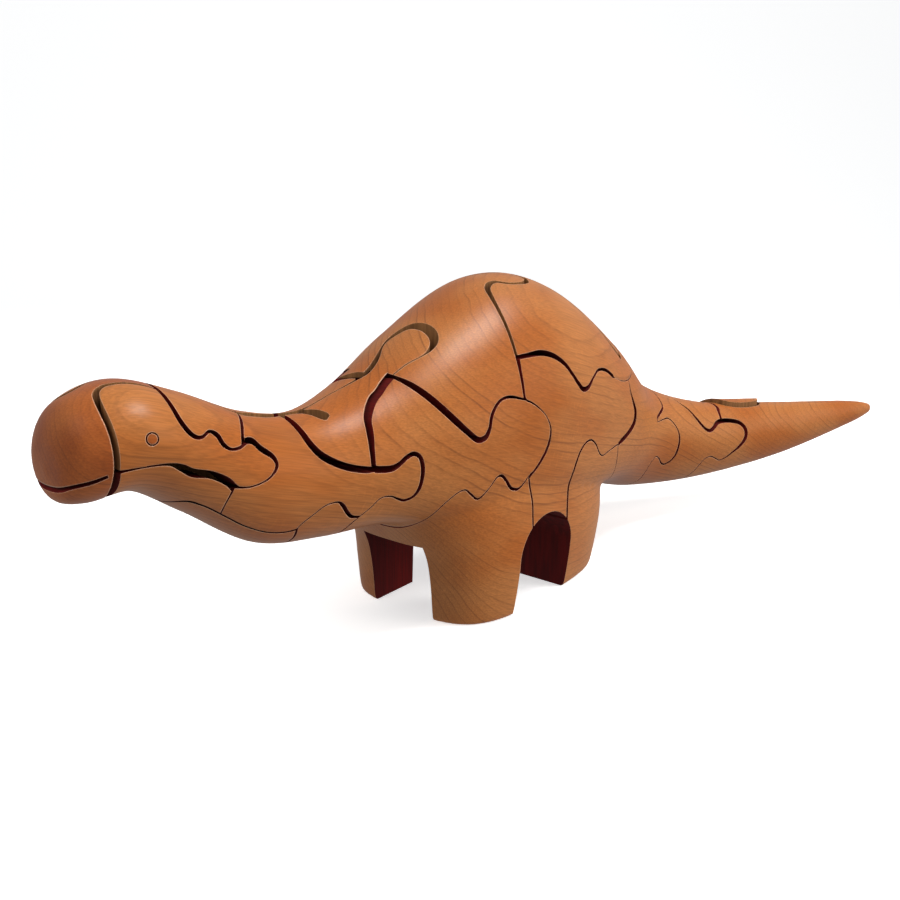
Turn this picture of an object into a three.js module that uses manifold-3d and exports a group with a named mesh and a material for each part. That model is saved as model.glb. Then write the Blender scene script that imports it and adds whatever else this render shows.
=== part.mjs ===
// Carved wooden sauropod jigsaw: one cherry block, shaped all round, then sawn from the side and
// from above into interlocking pieces that slide apart. +X runs to the tail, -Y is the animal's
// left side, +Z is up, and the soles stand on Z = 0.
import * as THREE from 'three';
import { mergeVertices } from 'three/addons/utils/BufferGeometryUtils.js';
import Module from 'manifold-3d';

const wasm = await Module();
wasm.setup();

// Driving dimensions, in millimetres
const animalLength = 432;
const backHeight = 125;
const bodyWidth = 82;
const legGapWidth = 29.5;
const legGapHeight = 31;
const bladeKerf = 1.2;
const eyeDiameter = 2.6;
const eyeDepth = 6;
const eyeClearance = 0.35;
const keyLift = 2.2;
const sawOverrun = 30;

// How finely the curves are drawn
const bodySteps = 48;
const legSteps = 8;
const roundSteps = 26;
const archSteps = 10;
const sawSteps = 2;
const eyeSides = 14;

// How far the outer corner of a kerf may run out, where the blade turns sharply
const bluntestTurn = 0.6;

// Carved body, nose to tail tip: place along, sideways centre, top, bottom, half width,
// level of the widest point, and how square the upper and lower halves are
const bodyShares = [
  [-0.294, 0, 0.676, 0.664, 0.006, 0.5, 2, 2],
  [-0.2911, 0, 0.748, 0.612, 0.107, 0.5, 2, 2],
  [-0.2778, 0, 0.804, 0.596, 0.175, 0.5, 2, 2],
  [-0.2488, 0, 0.829, 0.597, 0.213, 0.5, 2, 2],
  [-0.2112, 0, 0.788, 0.512, 0.21, 0.5, 2, 2],
  [-0.162, 0, 0.716, 0.393, 0.21, 0.5, 2, 2],
  [-0.11, 0, 0.69, 0.355, 0.236, 0.5, 2, 2.1],
  [-0.0521, 0, 0.752, 0.339, 0.305, 0.45, 2, 2.4],
  [0.0145, 0, 0.875, 0.297, 0.412, 0.4, 2, 4],
  [0.1013, 0, 1, 0.28, 0.488, 0.4, 2, 4.6],
  [0.1794, 0, 0.979, 0.26, 0.503, 0.4, 2, 4.4],
  [0.2604, -0.046, 0.822, 0.222, 0.45, 0.43, 2, 3],
  [0.3385, -0.183, 0.59, 0.15, 0.305, 0.5, 2, 2.2],
  [0.434, -0.442, 0.466, 0.14, 0.213, 0.5, 2, 2],
  [0.5498, -0.762, 0.427, 0.187, 0.145, 0.5, 2, 2],
  [0.6597, -1.067, 0.4, 0.28, 0.072, 0.5, 2, 2],
  [0.6988, -1.177, 0.378, 0.325, 0.032, 0.5, 2, 2],
  [0.7046, -1.192, 0.355, 0.345, 0.005, 0.5, 2, 2],
];

// Block of the four legs, sole to shoulder: height, front, rear, half width and squareness
const legShares = [
  [0, -0.0017, 0.2255, 0.436, 3.6],
  [0.014, -0.0041, 0.23, 0.453, 3.6],
  [0.12, -0.0069, 0.2375, 0.476, 3.4],
  [0.21, -0.0127, 0.2465, 0.485, 3.1],
  [0.29, -0.026, 0.256, 0.479, 2.7],
  [0.36, -0.0376, 0.26, 0.47, 2.5],
  [0.44, -0.0318, 0.2575, 0.454, 2.4],
  [0.5, -0.0231, 0.2488, 0.419, 2.3],
];

// Gap between the left and right legs: ends in front of the shoulder and behind the rear legs
const legGapFrontShare = -0.0723;
const legGapRearShare = 0.2584;

// Arch between the front and rear legs: its front at the foot, its front and rear higher up, and the
// levels where it starts to close and where it ends
const archFrontFootShare = 0.0455;
const archFrontShare = 0.0515;
const archRearShare = 0.131;
const archSpringShare = 0.17;
const archCrownShare = 0.297;

// Saw lines seen from the side, as places along, heights and widths of the cut in blade kerfs
const throatLineShares = [
  [
    [-0.2488, 0.5, 0.5], [-0.2315, 0.556, 0.5], [-0.2242, 0.566, 0.5], [-0.2141, 0.55, 0.35],
    [-0.2025, 0.522, 0.3], [-0.1953, 0.503, 0.3], [-0.1852, 0.477, 0.3], [-0.1725, 0.451, 0.3],
    [-0.1623, 0.437, 0.4], [-0.1525, 0.431, 0.5], [-0.1455, 0.432, 0.6],
  ],
  [
    [-0.1455, 0.432, 0.6], [-0.1429, 0.4, 0.6], [-0.1418, 0.3, 0.6],
  ],
];
const collarLineShares = [
  [
    [-0.1591, 1.1, 0.3], [-0.1655, 0.78, 0.3], [-0.1736, 0.725, 0.5], [-0.18, 0.706, 0.9],
    [-0.1846, 0.69, 0.9], [-0.1869, 0.676, 1.2],
  ],
  [
    [-0.1869, 0.676, 1.2], [-0.1791, 0.672, 1.6], [-0.1739, 0.652, 1.6], [-0.1655, 0.626, 1.3],
    [-0.1646, 0.608, 1], [-0.1696, 0.591, 0.6], [-0.1771, 0.581, 0.4], [-0.1884, 0.578, 0.4],
    [-0.1991, 0.586, 0.6],
  ],
  [
    [-0.1991, 0.586, 0.6], [-0.2018, 0.549, 0.3], [-0.2013, 0.521, 0.3], [-0.1993, 0.497, 0.3],
    [-0.198, 0.46, 0.3], [-0.198, 0.38, 0.3],
  ],
];
const jawLineShares = [
  [
    [-0.2665, 0.5, 1], [-0.2679, 0.6, 1], [-0.2694, 0.65, 1], [-0.2697, 0.672, 0.8],
  ],
  [
    [-0.2679, 0.672, 0.6], [-0.2546, 0.672, 0.3], [-0.2416, 0.667, 0.3], [-0.2344, 0.65, 0.3],
    [-0.2274, 0.632, 0.3], [-0.215, 0.619, 0.3], [-0.204, 0.594, 0.3], [-0.1988, 0.574, 0.3],
    [-0.1852, 0.536, 0.3],
  ],
];
// The jaw's gape, cut from both cheeks alone
const jawOpeningLineShares = [
  [
    [-0.2546, 0.673, 0.3], [-0.2416, 0.669, 0.6], [-0.2344, 0.657, 1.6], [-0.2274, 0.641, 1.9],
    [-0.215, 0.627, 1.7], [-0.204, 0.603, 1.9], [-0.1988, 0.583, 2], [-0.1852, 0.545, 2],
  ],
];
const napeLineShares = [
  [
    [-0.2286, 0.9, 1], [-0.2306, 0.815, 1.2], [-0.2312, 0.775, 1.3], [-0.2303, 0.749, 1.3],
    [-0.2263, 0.722, 1.2], [-0.2216, 0.71, 0.9], [-0.2176, 0.709, 0.7], [-0.2115, 0.715, 0.7],
    [-0.2063, 0.703, 1.3], [-0.204, 0.684, 1.2], [-0.1991, 0.67, 0.7], [-0.1924, 0.667, 0.7],
    [-0.1852, 0.672, 0.7],
  ],
];
const backLineShares = [
  [
    [-0.1317, 0.76, 2.1], [-0.1325, 0.69, 2.1], [-0.1322, 0.66, 2.1], [-0.1308, 0.632, 2.1],
    [-0.1262, 0.606, 2.1], [-0.1166, 0.581, 2], [-0.1047, 0.561, 1.9], [-0.0917, 0.548, 1.8],
    [-0.0862, 0.546, 1.5],
  ],
  [
    [-0.0862, 0.546, 1.5], [-0.0855, 0.572, 1.5], [-0.0842, 0.597, 1.6], [-0.0826, 0.617, 1.8],
    [-0.0805, 0.639, 1.9], [-0.078, 0.66, 1.8], [-0.0722, 0.682, 1.6], [-0.0644, 0.703, 1.4],
    [-0.0561, 0.719, 1.2], [-0.047, 0.738, 1.1], [-0.0394, 0.753, 1.1],
  ],
  [
    [-0.0394, 0.753, 1.1], [-0.034, 0.735, 1.9], [-0.0279, 0.708, 2.2], [-0.0205, 0.672, 2.2],
    [-0.012, 0.634, 2.1], [-0.004, 0.603, 1.9], [0.0055, 0.575, 1.8], [0.0127, 0.578, 1.6],
    [0.0179, 0.6, 1.2], [0.0214, 0.63, 1.1], [0.0278, 0.657, 0.9], [0.0353, 0.673, 0.8],
    [0.0448, 0.676, 0.9], [0.0593, 0.663, 0.6],
  ],
  [
    [0.0593, 0.663, 0.6], [0.0602, 0.7, 0.8], [0.0616, 0.74, 0.9], [0.0637, 0.779, 1.2],
  ],
  [
    [0.0637, 0.779, 1.2], [0.0752, 0.782, 1.4], [0.0909, 0.784, 1.8], [0.1045, 0.772, 1.8],
    [0.1175, 0.744, 1.6], [0.1256, 0.712, 1.4], [0.1334, 0.679, 1.6], [0.1406, 0.658, 1.7],
    [0.1502, 0.66, 1.5], [0.1617, 0.684, 0.9], [0.1748, 0.703, 0.9], [0.191, 0.695, 1.2],
    [0.204, 0.67, 1.2], [0.206, 0.666, 0.3], [0.2257, 0.645, 0.3], [0.2459, 0.642, 0.3],
    [0.2691, 0.672, 0.3], [0.2894, 0.74, 0.3], [0.3067, 0.84, 0.3],
  ],
];
const bandLineShares = [
  [
    [-0.0865, 1.1, 0.3], [-0.0865, 0.8, 0.3], [-0.0862, 0.546, 0.3],
  ],
  [
    [-0.0862, 0.546, 1.9], [-0.079, 0.541, 1.9], [-0.0706, 0.539, 1.8], [-0.0645, 0.546, 1.4],
    [-0.0582, 0.559, 1.3], [-0.0515, 0.566, 1.3], [-0.0469, 0.557, 1.3], [-0.0446, 0.53, 1.3],
    [-0.0451, 0.495, 1.2], [-0.0472, 0.465, 1.1], [-0.0512, 0.447, 0.9], [-0.0579, 0.442, 0.8],
    [-0.0639, 0.451, 0.6], [-0.0709, 0.463, 0.4], [-0.0796, 0.464, 0.3], [-0.0859, 0.444, 0.3],
    [-0.094, 0.42, 0.3],
  ],
  [
    [-0.094, 0.42, 0.3], [-0.0978, 0.401, 0.5], [-0.0995, 0.374, 0.5], [-0.1013, 0.28, 0.5],
  ],
];
const chestLineShares = [
  [
    [-0.1476, 0.42, 0.3], [-0.1438, 0.445, 0.3], [-0.1348, 0.467, 0.3], [-0.1273, 0.481, 0.3],
    [-0.1163, 0.482, 0.5], [-0.112, 0.47, 1], [-0.1071, 0.448, 1], [-0.1013, 0.429, 0.9],
    [-0.0926, 0.42, 0.7],
  ],
];
const flankLineShares = [
  [
    [0.0587, 1.1, 0.3], [0.059, 0.9, 0.3], [0.0593, 0.68, 0.3],
  ],
  [
    [0.0593, 0.68, 0.6], [0.0605, 0.662, 0.6], [0.066, 0.652, 0.6], [0.0723, 0.638, 0.5],
    [0.0833, 0.603, 0.3], [0.0891, 0.559, 0.7], [0.0859, 0.511, 1.1], [0.0758, 0.466, 1],
    [0.0631, 0.428, 0.6],
  ],
  [
    [0.0631, 0.428, 0.7], [0.0677, 0.36, 0.7], [0.0677, 0.28, 0.7], [0.0671, -0.3, 0.7],
  ],
];
const frontLegLineShares = [
  [
    [-0.026, 0.2, 0.3], [-0.0289, 0.29, 0.3], [-0.0295, 0.34, 0.3], [-0.0246, 0.398, 0.3],
    [-0.0139, 0.434, 0.3], [-0.0067, 0.44, 0.4], [-0.0006, 0.423, 0.6], [0.0069, 0.404, 0.6],
    [0.0168, 0.428, 0.3], [0.0255, 0.457, 0.5], [0.0304, 0.457, 0.9], [0.0359, 0.438, 1],
    [0.042, 0.412, 1], [0.0495, 0.403, 0.9], [0.055, 0.41, 0.5], [0.0651, 0.44, 0.4],
    [0.0752, 0.45, 0.4],
  ],
];
const tailRootLineShares = [
  [
    [0.2445, 1.1, 0.3], [0.2445, 0.69, 0.3], [0.2431, 0.64, 0.3], [0.2425, 0.6, 0.8],
    [0.2454, 0.569, 1.4], [0.2503, 0.525, 2.1], [0.2474, 0.488, 2.4], [0.235, 0.46, 2.1],
    [0.215, 0.436, 1.5], [0.2127, 0.433, 0.4],
  ],
  [
    [0.2127, 0.433, 0.4], [0.2161, 0.376, 0.4], [0.2222, 0.326, 0.3], [0.2315, 0.285, 0.3],
    [0.2459, 0.258, 0.3], [0.2604, 0.235, 0.3], [0.2807, 0.2, 0.3], [0.2894, -0.3, 0.3],
  ],
];
const rearLegLineShares = [
  [
    [0.2894, 0.45, 0.4], [0.2315, 0.436, 0.4], [0.2118, 0.434, 0.4], [0.191, 0.422, 0.4],
    [0.1808, 0.417, 0.4], [0.1736, 0.431, 0.5], [0.1658, 0.464, 0.6], [0.1562, 0.486, 0.6],
    [0.1461, 0.484, 0.7], [0.1354, 0.455, 0.9], [0.1273, 0.387, 1], [0.125, 0.33, 1],
    [0.123, 0.28, 1], [0.1215, 0.18, 1],
  ],
];
const tailMiddleLineShares = [
  [
    [0.3535, 1, 0.4], [0.351, 0.7, 0.4], [0.3485, 0.54, 0.5], [0.3434, 0.49, 0.9], [0.3288, 0.472, 1.1],
    [0.3185, 0.459, 0.9], [0.319, 0.448, 0.4], [0.332, 0.447, 0.4], [0.3445, 0.446, 0.5],
    [0.3524, 0.429, 0.5], [0.3597, 0.394, 0.6], [0.362, 0.36, 0.9], [0.3614, 0.328, 1.1],
    [0.3588, 0.289, 1.1], [0.3536, 0.268, 0.9], [0.3458, 0.26, 0.7], [0.3385, 0.271, 0.6],
    [0.3299, 0.296, 0.5], [0.3223, 0.307, 0.4], [0.3166, 0.287, 0.4], [0.3174, 0.242, 0.4],
    [0.3241, 0.19, 0.4], [0.3299, -0.2, 0.4],
  ],
];
const tailTipLineShares = [
  [
    [0.3733, 0.8, 0.3], [0.3791, 0.62, 0.3], [0.3863, 0.49, 0.35], [0.3927, 0.457, 0.9],
    [0.3964, 0.428, 1.2], [0.4013, 0.398, 1.3], [0.4062, 0.377, 1.3], [0.4129, 0.366, 1.5],
    [0.421, 0.376, 1.6], [0.4288, 0.391, 1.7], [0.4378, 0.394, 1.8], [0.4543, 0.388, 1.8],
    [0.4653, 0.374, 1.9], [0.4705, 0.349, 2], [0.4696, 0.315, 1.9], [0.4624, 0.284, 1.6],
    [0.4523, 0.258, 1], [0.4427, 0.236, 0.6], [0.4346, 0.23, 0.4], [0.4265, 0.243, 0.4],
    [0.417, 0.256, 0.4], [0.4097, 0.25, 0.4], [0.4057, 0.226, 0.4], [0.4045, 0.18, 0.4],
    [0.4051, -0.2, 0.4],
  ],
];
const saddleLineShares = [
  [
    [0.4803, 0.8, 1], [0.463, 0.56, 1], [0.4549, 0.47, 1], [0.4485, 0.442, 1.1], [0.4433, 0.43, 1.1],
    [0.4395, 0.412, 1.1], [0.4363, 0.385, 1.1], [0.4349, 0.33, 1.1],
  ],
];
const mouthLineShares = [
  [
    [-0.3067, 0.6, 0.9], [-0.2932, 0.638, 0.9], [-0.291, 0.646, 0.9], [-0.2884, 0.651, 0.9],
    [-0.2821, 0.6575, 0.9], [-0.2785, 0.662, 0.8], [-0.2749, 0.6665, 0.7],
  ],
];

// Saw lines seen from above, as places along, sideways places and widths in blade kerfs
const leftCheekLineShares = [
  [
    [-0.2705, -0.61, 1.1], [-0.2708, -0.198, 1.1], [-0.2698, -0.115, 1.2], [-0.2665, -0.068, 1.3],
    [-0.261, -0.05, 1.2], [-0.254, -0.053, 1.1], [-0.245, -0.062, 1], [-0.237, -0.072, 0.7],
    [-0.2286, -0.085, 0.4], [-0.2141, -0.061, 0.4], [-0.2025, -0.084, 0.4], [-0.191, -0.107, 0.4],
    [-0.1765, -0.084, 0.4], [-0.1447, -0.076, 0.4],
  ],
];
const rightCheekLineShares = [
  [
    [-0.2792, 0.61, 1], [-0.2795, 0.17, 1], [-0.2788, 0.09, 1.1], [-0.2765, 0.042, 1.2],
    [-0.2725, 0.029, 1.3], [-0.267, 0.029, 1.1], [-0.26, 0.044, 0.9], [-0.2546, 0.058, 0.7],
    [-0.2431, 0.075, 0.5], [-0.2286, 0.085, 0.4], [-0.2141, 0.061, 0.4], [-0.2025, 0.084, 0.4],
    [-0.191, 0.107, 0.4], [-0.1765, 0.084, 0.4], [-0.1447, 0.076, 0.4],
  ],
];
const napeRidgeLineShares = [
  [
    [-0.2604, 0.046, 0.5], [-0.2315, 0.046, 0.5], [-0.2199, 0.03, 0.5], [-0.2083, 0.03, 0.5],
    [-0.1968, 0, 0.6], [-0.1852, -0.04, 0.8], [-0.1736, -0.065, 0.9], [-0.1447, -0.07, 0.9],
  ],
];
// Slot on top of the neck where the blade was turned
const turningSlotLineShares = [
  [
    [-0.126, -0.01, 2], [-0.1155, -0.016, 2.6], [-0.1087, -0.045, 3.4], [-0.105, -0.083, 3.6],
    [-0.1035, -0.1, 3.1], [-0.1027, -0.11, 1.8],
  ],
];
const bandRidgeLineShares = [
  [
    [-0.217, -0.03, 0.8], [-0.1794, -0.058, 1.2], [-0.17, -0.06, 1.6], [-0.1623, -0.05, 2.2],
    [-0.155, -0.044, 2.5], [-0.1433, -0.033, 2.5], [-0.1352, -0.02, 2.2], [-0.129, -0.014, 1.8],
    [-0.1215, -0.03, 0.5], [-0.1042, -0.03, 0.4], [-0.0868, 0.046, 0.4], [-0.0694, 0.061, 0.4],
    [-0.0521, 0.015, 0.4], [-0.0289, 0, 0.4],
  ],
];
const neckRidgeLineShares = [
  [
    [-0.1736, -0.016, 2.2], [-0.1331, -0.01, 2.6], [-0.124, -0.009, 2.6], [-0.1165, -0.008, 2],
    [-0.1085, -0.001, 1.1], [-0.1, 0.006, 0.6], [-0.09, 0.01, 0.5], [-0.0795, 0.008, 0.5],
    [-0.0668, -0.009, 0.5], [-0.0561, -0.022, 1], [-0.0487, -0.027, 1.8], [-0.04, -0.022, 1.9],
    [-0.03, -0.004, 1.6], [-0.0215, 0.018, 0.9], [-0.0148, 0.033, 0.7], [-0.0081, 0.036, 1.3],
    [0.0003, 0.024, 2.2], [0.0088, -0.004, 2.8], [0.012, -0.045, 3.2], [0.0123, -0.09, 3.4],
    [0.0102, -0.13, 3.3], [0.0055, -0.159, 2.4], [-0.0015, -0.17, 1.2], [-0.0085, -0.168, 0.4],
    [-0.0246, -0.14, 0.3],
    [-0.0376, -0.13, 0.3],
  ],
  [
    [-0.0376, -0.13, 0.3], [-0.0391, -0.381, 0.3], [-0.0391, -0.762, 0.3],
  ],
];
const neckRightLineShares = [
  [
    [-0.054, -0.762, 3], [-0.0525, -0.152, 3.2], [-0.052, 0, 3.2], [-0.0535, 0.046, 3.2],
    [-0.055, 0.107, 2.8], [-0.053, 0.168, 1.6], [-0.05, 0.229, 0.8], [-0.05, 0.29, 0.4],
    [-0.052, 0.351, 0.4], [-0.054, 0.762, 0.4],
  ],
];
const humpLineShares = [
  [
    [0.055, -0.762, 0.9], [0.0584, -0.457, 0.9], [0.0625, -0.381, 1], [0.0666, -0.32, 1.1],
    [0.0715, -0.25, 1.2], [0.077, -0.189, 1.5], [0.0839, -0.137, 1.9], [0.092, -0.119, 1.9],
    [0.0995, -0.127, 1.4], [0.1071, -0.16, 1.1], [0.1215, -0.18, 1.2], [0.1374, -0.165, 1.6],
    [0.1441, -0.122, 1.6], [0.1412, -0.069, 1.1], [0.1302, -0.023, 1], [0.1157, 0, 1.2],
    [0.1056, 0.046, 1], [0.0998, 0.122, 0.4], [0.1042, 0.198, 0.4], [0.1013, 0.274, 0.4],
    [0.0868, 0.351, 0.4], [0.0781, 0.457, 0.4], [0.0752, 0.838, 0.4],
  ],
];
const rumpLineShares = [
  [
    [0.0434, -0.084, 0.4], [0.11, -0.076, 0.4], [0.1302, 0, 0.4], [0.1447, 0.061, 0.4],
    [0.162, 0.06, 0.4], [0.1765, 0, 0.4], [0.191, -0.08, 0.5], [0.2054, -0.19, 0.7],
    [0.217, -0.28, 0.9], [0.226, -0.345, 1.3], [0.231, -0.375, 1.5], [0.237, -0.389, 1.4],
    [0.2425, -0.405, 1], [0.248, -0.38, 0.8], [0.256, -0.31, 0.8], [0.2749, -0.2, 0.8],
    [0.3183, -0.15, 0.8],
  ],
];
const tailKeyLineShares = [
  [
    [0.462, 0.152, 0.8], [0.462, -0.5, 0.8], [0.4635, -0.565, 0.8], [0.472, -0.612, 0.6],
    [0.4817, -0.645, 0.6], [0.4971, -0.683, 0.6], [0.5122, -0.709, 0.9], [0.5235, -0.7, 1.3],
    [0.529, -0.64, 1.3], [0.529, 0.152, 1.3],
  ],
];
// Eyes: places along, up and out from the middle
const eyeAlongShare = -0.2512;
const eyeUpShare = 0.727;
const eyeOutShare = 0.21;

// A smooth run through rows of values, evenly stepped
function smoothRows(rows, steps) {
  const size = rows[0].length;
  const spline = new THREE.CubicInterpolant(rows.map((row, place) => place), rows.flat(), size);
  const out = [];
  for (let step = 0; step <= steps; step++) {
    out.push(Array.from(spline.evaluate((step / steps) * (rows.length - 1)).slice(0, size)));
  }
  return out;
}

// Cosine or sine flattened into a squarer round
function squared(value, squareness) {
  return Math.sign(value) * Math.abs(value) ** (2 / squareness);
}

// Closed skin over rings that all have the same number of points
function skinOverRings(rings) {
  const around = rings[0].length;
  const points = rings.flat();
  const faces = [];
  for (let ring = 0; ring + 1 < rings.length; ring++) {
    for (let side = 0; side < around; side++) {
      const here = ring * around + side;
      const next = ring * around + ((side + 1) % around);
      faces.push(here, next, next + around, here, next + around, here + around);
    }
  }
  const lastRing = (rings.length - 1) * around;
  for (let side = 1; side + 1 < around; side++) {
    faces.push(0, side + 1, side);
    faces.push(lastRing, lastRing + side, lastRing + side + 1);
  }
  const skin = new THREE.BufferGeometry();
  skin.setAttribute('position', new THREE.Float32BufferAttribute(points.flat(), 3));
  skin.setIndex(faces);
  return skin;
}

// Solid of a closed geometry, for joining and cutting
function solidOf(geometry) {
  const bare = geometry.clone();
  bare.deleteAttribute('normal');
  bare.deleteAttribute('uv');
  const merged = mergeVertices(bare);
  return new wasm.Manifold(new wasm.Mesh({
    numProp: 3,
    vertProperties: new Float32Array(merged.attributes.position.array),
    triVerts: new Uint32Array(merged.index.array),
  }));
}

function geometryOf(solid) {
  const mesh = solid.getMesh();
  const geometry = new THREE.BufferGeometry();
  geometry.setAttribute('position', new THREE.BufferAttribute(new Float32Array(mesh.vertProperties), 3));
  geometry.setIndex(Array.from(mesh.triVerts));
  geometry.computeVertexNormals();
  return geometry;
}

// Ring across the body at one place along it
function bodyRing([along, sideways, top, bottom, halfWidth, level, upperSquareness, lowerSquareness]) {
  const middle = bottom + (top - bottom) * level;
  const ring = [];
  for (let step = 0; step < roundSteps; step++) {
    const angle = (2 * Math.PI * step) / roundSteps;
    const upper = Math.sin(angle) > 0;
    const squareness = upper ? upperSquareness : lowerSquareness;
    const rise = (upper ? top - middle : middle - bottom) * squared(Math.sin(angle), squareness);
    const out = sideways + halfWidth * squared(Math.cos(angle), squareness);
    ring.push([along * animalLength, out * bodyWidth, (middle + rise) * backHeight]);
  }
  return ring;
}

// Level ring round the four legs at one height
function legRing([height, front, rear, halfWidth, squareness]) {
  const ring = [];
  for (let step = 0; step < roundSteps; step++) {
    const angle = (2 * Math.PI * step) / roundSteps;
    const along = (front + rear) / 2 + ((rear - front) / 2) * squared(Math.cos(angle), squareness);
    const out = halfWidth * squared(Math.sin(angle), squareness);
    ring.push([along * animalLength, out * bodyWidth, height * backHeight]);
  }
  return ring;
}

// Outline drawn in side view, run through the whole width of the animal
function throughSideways(outline) {
  const reach = 2 * (bodyWidth + sawOverrun);
  const run = { depth: 2 * reach, bevelEnabled: false };
  const prism = new THREE.ExtrudeGeometry(new THREE.Shape(outline), run);
  prism.rotateX(Math.PI / 2);
  prism.translate(0, reach, 0);
  return solidOf(prism);
}

// Outline drawn in plan, run through the whole height of the animal
function throughUpright(outline) {
  const run = { depth: backHeight + 2 * sawOverrun, bevelEnabled: false };
  const prism = new THREE.ExtrudeGeometry(new THREE.Shape(outline), run);
  prism.translate(0, 0, -sawOverrun);
  return solidOf(prism);
}

// Space between the left and right legs
function legGap() {
  const front = legGapFrontShare * animalLength;
  const rear = legGapRearShare * animalLength;
  const gap = new THREE.BoxGeometry(rear - front, legGapWidth, 2 * legGapHeight);
  gap.translate((front + rear) / 2, 0, 0);
  return solidOf(gap);
}

// Arch under the belly, between the front and rear legs
function bellyArch() {
  const front = archFrontShare * animalLength;
  const rear = archRearShare * animalLength;
  const spring = archSpringShare * backHeight;
  const rise = archCrownShare * backHeight - spring;
  const outline = [
    new THREE.Vector2(archFrontFootShare * animalLength, -sawOverrun),
    new THREE.Vector2(rear, -sawOverrun),
  ];
  for (let step = 0; step <= archSteps; step++) {
    const angle = (Math.PI * step) / archSteps;
    const along = (front + rear) / 2 + ((rear - front) / 2) * Math.cos(angle);
    outline.push(new THREE.Vector2(along, spring + rise * Math.sin(angle)));
  }
  return throughSideways(outline);
}

function wholeAnimal() {
  const body = solidOf(skinOverRings(smoothRows(bodyShares, bodySteps).map(bodyRing)));
  const legs = solidOf(skinOverRings(smoothRows(legShares, legSteps).map(legRing)));
  return body.add(legs).subtract(legGap()).subtract(bellyArch());
}

// Saw line in real sizes: smooth runs that meet in corners, each point with its kerf
function sawPath(runs, acrossSize) {
  const path = [];
  for (const run of runs) {
    const marks = run.map(([along, across, kerfs]) => new THREE.Vector3(
      along * animalLength, across * acrossSize, kerfs * bladeKerf));
    const curve = new THREE.CatmullRomCurve3(marks, false, 'centripetal');
    const points = curve.getPoints(sawSteps * (marks.length - 1));
    path.push(...(path.length ? points.slice(1) : points));
  }
  return path;
}

// Outline of the wood that the blade takes away along a saw line
function kerfOutline(path) {
  const left = [];
  const right = [];
  path.forEach((point, place) => {
    const before = path[Math.max(place - 1, 0)];
    const after = path[Math.min(place + 1, path.length - 1)];
    const arriving = new THREE.Vector2(point.x - before.x, point.y - before.y).normalize();
    const leaving = new THREE.Vector2(after.x - point.x, after.y - point.y).normalize();
    const heading = arriving.clone().add(leaving).normalize();
    const square = new THREE.Vector2(-heading.y, heading.x);
    const bend = place === 0 || place === path.length - 1 ? 1 : Math.max(heading.dot(leaving), bluntestTurn);
    const reach = point.z / 2 / bend;
    left.push(new THREE.Vector2(point.x, point.y).addScaledVector(square, reach));
    right.push(new THREE.Vector2(point.x, point.y).addScaledVector(square, -reach));
  });
  return [...left, ...right.reverse()];
}

// Outline of everything on one side of a saw line, closed far outside the block
function sideOutline(path, toward) {
  const far = new THREE.Vector2(toward[0], toward[1]).multiplyScalar(animalLength + backHeight);
  const line = path.map((point) => new THREE.Vector2(point.x, point.y));
  return [...line, line[line.length - 1].clone().add(far), line[0].clone().add(far)];
}

// Saws a block in two along a line and gives the part that lies toward the given side first
function sawApart(block, path, toward, through) {
  const opened = block.subtract(through(kerfOutline(path)));
  const side = through(sideOutline(path, toward));
  return [opened.intersect(side), opened.subtract(side)];
}

function sawFromSide(block, runs, toward) {
  return sawApart(block, sawPath(runs, backHeight), toward, throughSideways);
}

function sawFromAbove(block, runs, toward) {
  return sawApart(block, sawPath(runs, bodyWidth), toward, throughUpright);
}

const towardHead = [-1, 0];
const towardTail = [1, 0];
const upward = [0, 1];
const downward = [0, -1];
const towardLeft = [0, -1];
const towardRight = [0, 1];

// Head: nape halves above, jaw below, and a muzzle whose tongue runs back between the cheeks
const [throat, aboveThroat] = sawFromSide(wholeAnimal(), throatLineShares, downward);
const [head, headless] = sawFromSide(aboveThroat, collarLineShares, towardHead);
const [jaw, topOfHead] = sawFromSide(head, jawLineShares, downward);
const [nape, face] = sawFromSide(topOfHead, napeLineShares, towardTail);
const [napeRight, napeLeft] = sawFromAbove(nape, napeRidgeLineShares, towardRight);
const [cheekLeftSawn, faceRest] = sawFromAbove(face, leftCheekLineShares, towardLeft);
const [cheekRightSawn, muzzleBlank] = sawFromAbove(faceRest, rightCheekLineShares, towardRight);
const jawOpening = throughSideways(kerfOutline(sawPath(jawOpeningLineShares, backHeight)));
const cheekLeftBlank = cheekLeftSawn.subtract(jawOpening);
const cheekRightBlank = cheekRightSawn.subtract(jawOpening);
const mouth = throughSideways(kerfOutline(sawPath(mouthLineShares, backHeight)));
const muzzle = muzzleBlank.subtract(mouth);

// Back: five pieces that stand on the lower body, parted only by cuts made from above
const [back, lowerBody] = sawFromSide(headless, backLineShares, upward);
const [neckLeftBlank, backRest] = sawFromAbove(back, neckRidgeLineShares, towardLeft);
const turningSlot = throughUpright(kerfOutline(sawPath(turningSlotLineShares, bodyWidth)));
const neckLeft = neckLeftBlank.subtract(turningSlot);
const [neckRight, humps] = sawFromAbove(backRest, neckRightLineShares, towardHead);
const [humpFront, rump] = sawFromAbove(humps, humpLineShares, towardHead);
const [rumpRight, humpRear] = sawFromAbove(rump, rumpLineShares, towardRight);

// Lower body, from the neck to the rear legs
const [neckPart, bodyBelow] = sawFromSide(lowerBody, bandLineShares, towardHead);
const [chest, band] = sawFromSide(neckPart, chestLineShares, downward);
const [bandRight, bandLeft] = sawFromAbove(band, bandRidgeLineShares, towardRight);
const [tail, trunk] = sawFromSide(bodyBelow, tailRootLineShares, towardTail);
const [foreBody, rearBody] = sawFromSide(trunk, flankLineShares, towardHead);
const [frontLegs, shoulder] = sawFromSide(foreBody, frontLegLineShares, downward);
const [rearLegs, flank] = sawFromSide(rearBody, rearLegLineShares, downward);

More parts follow.
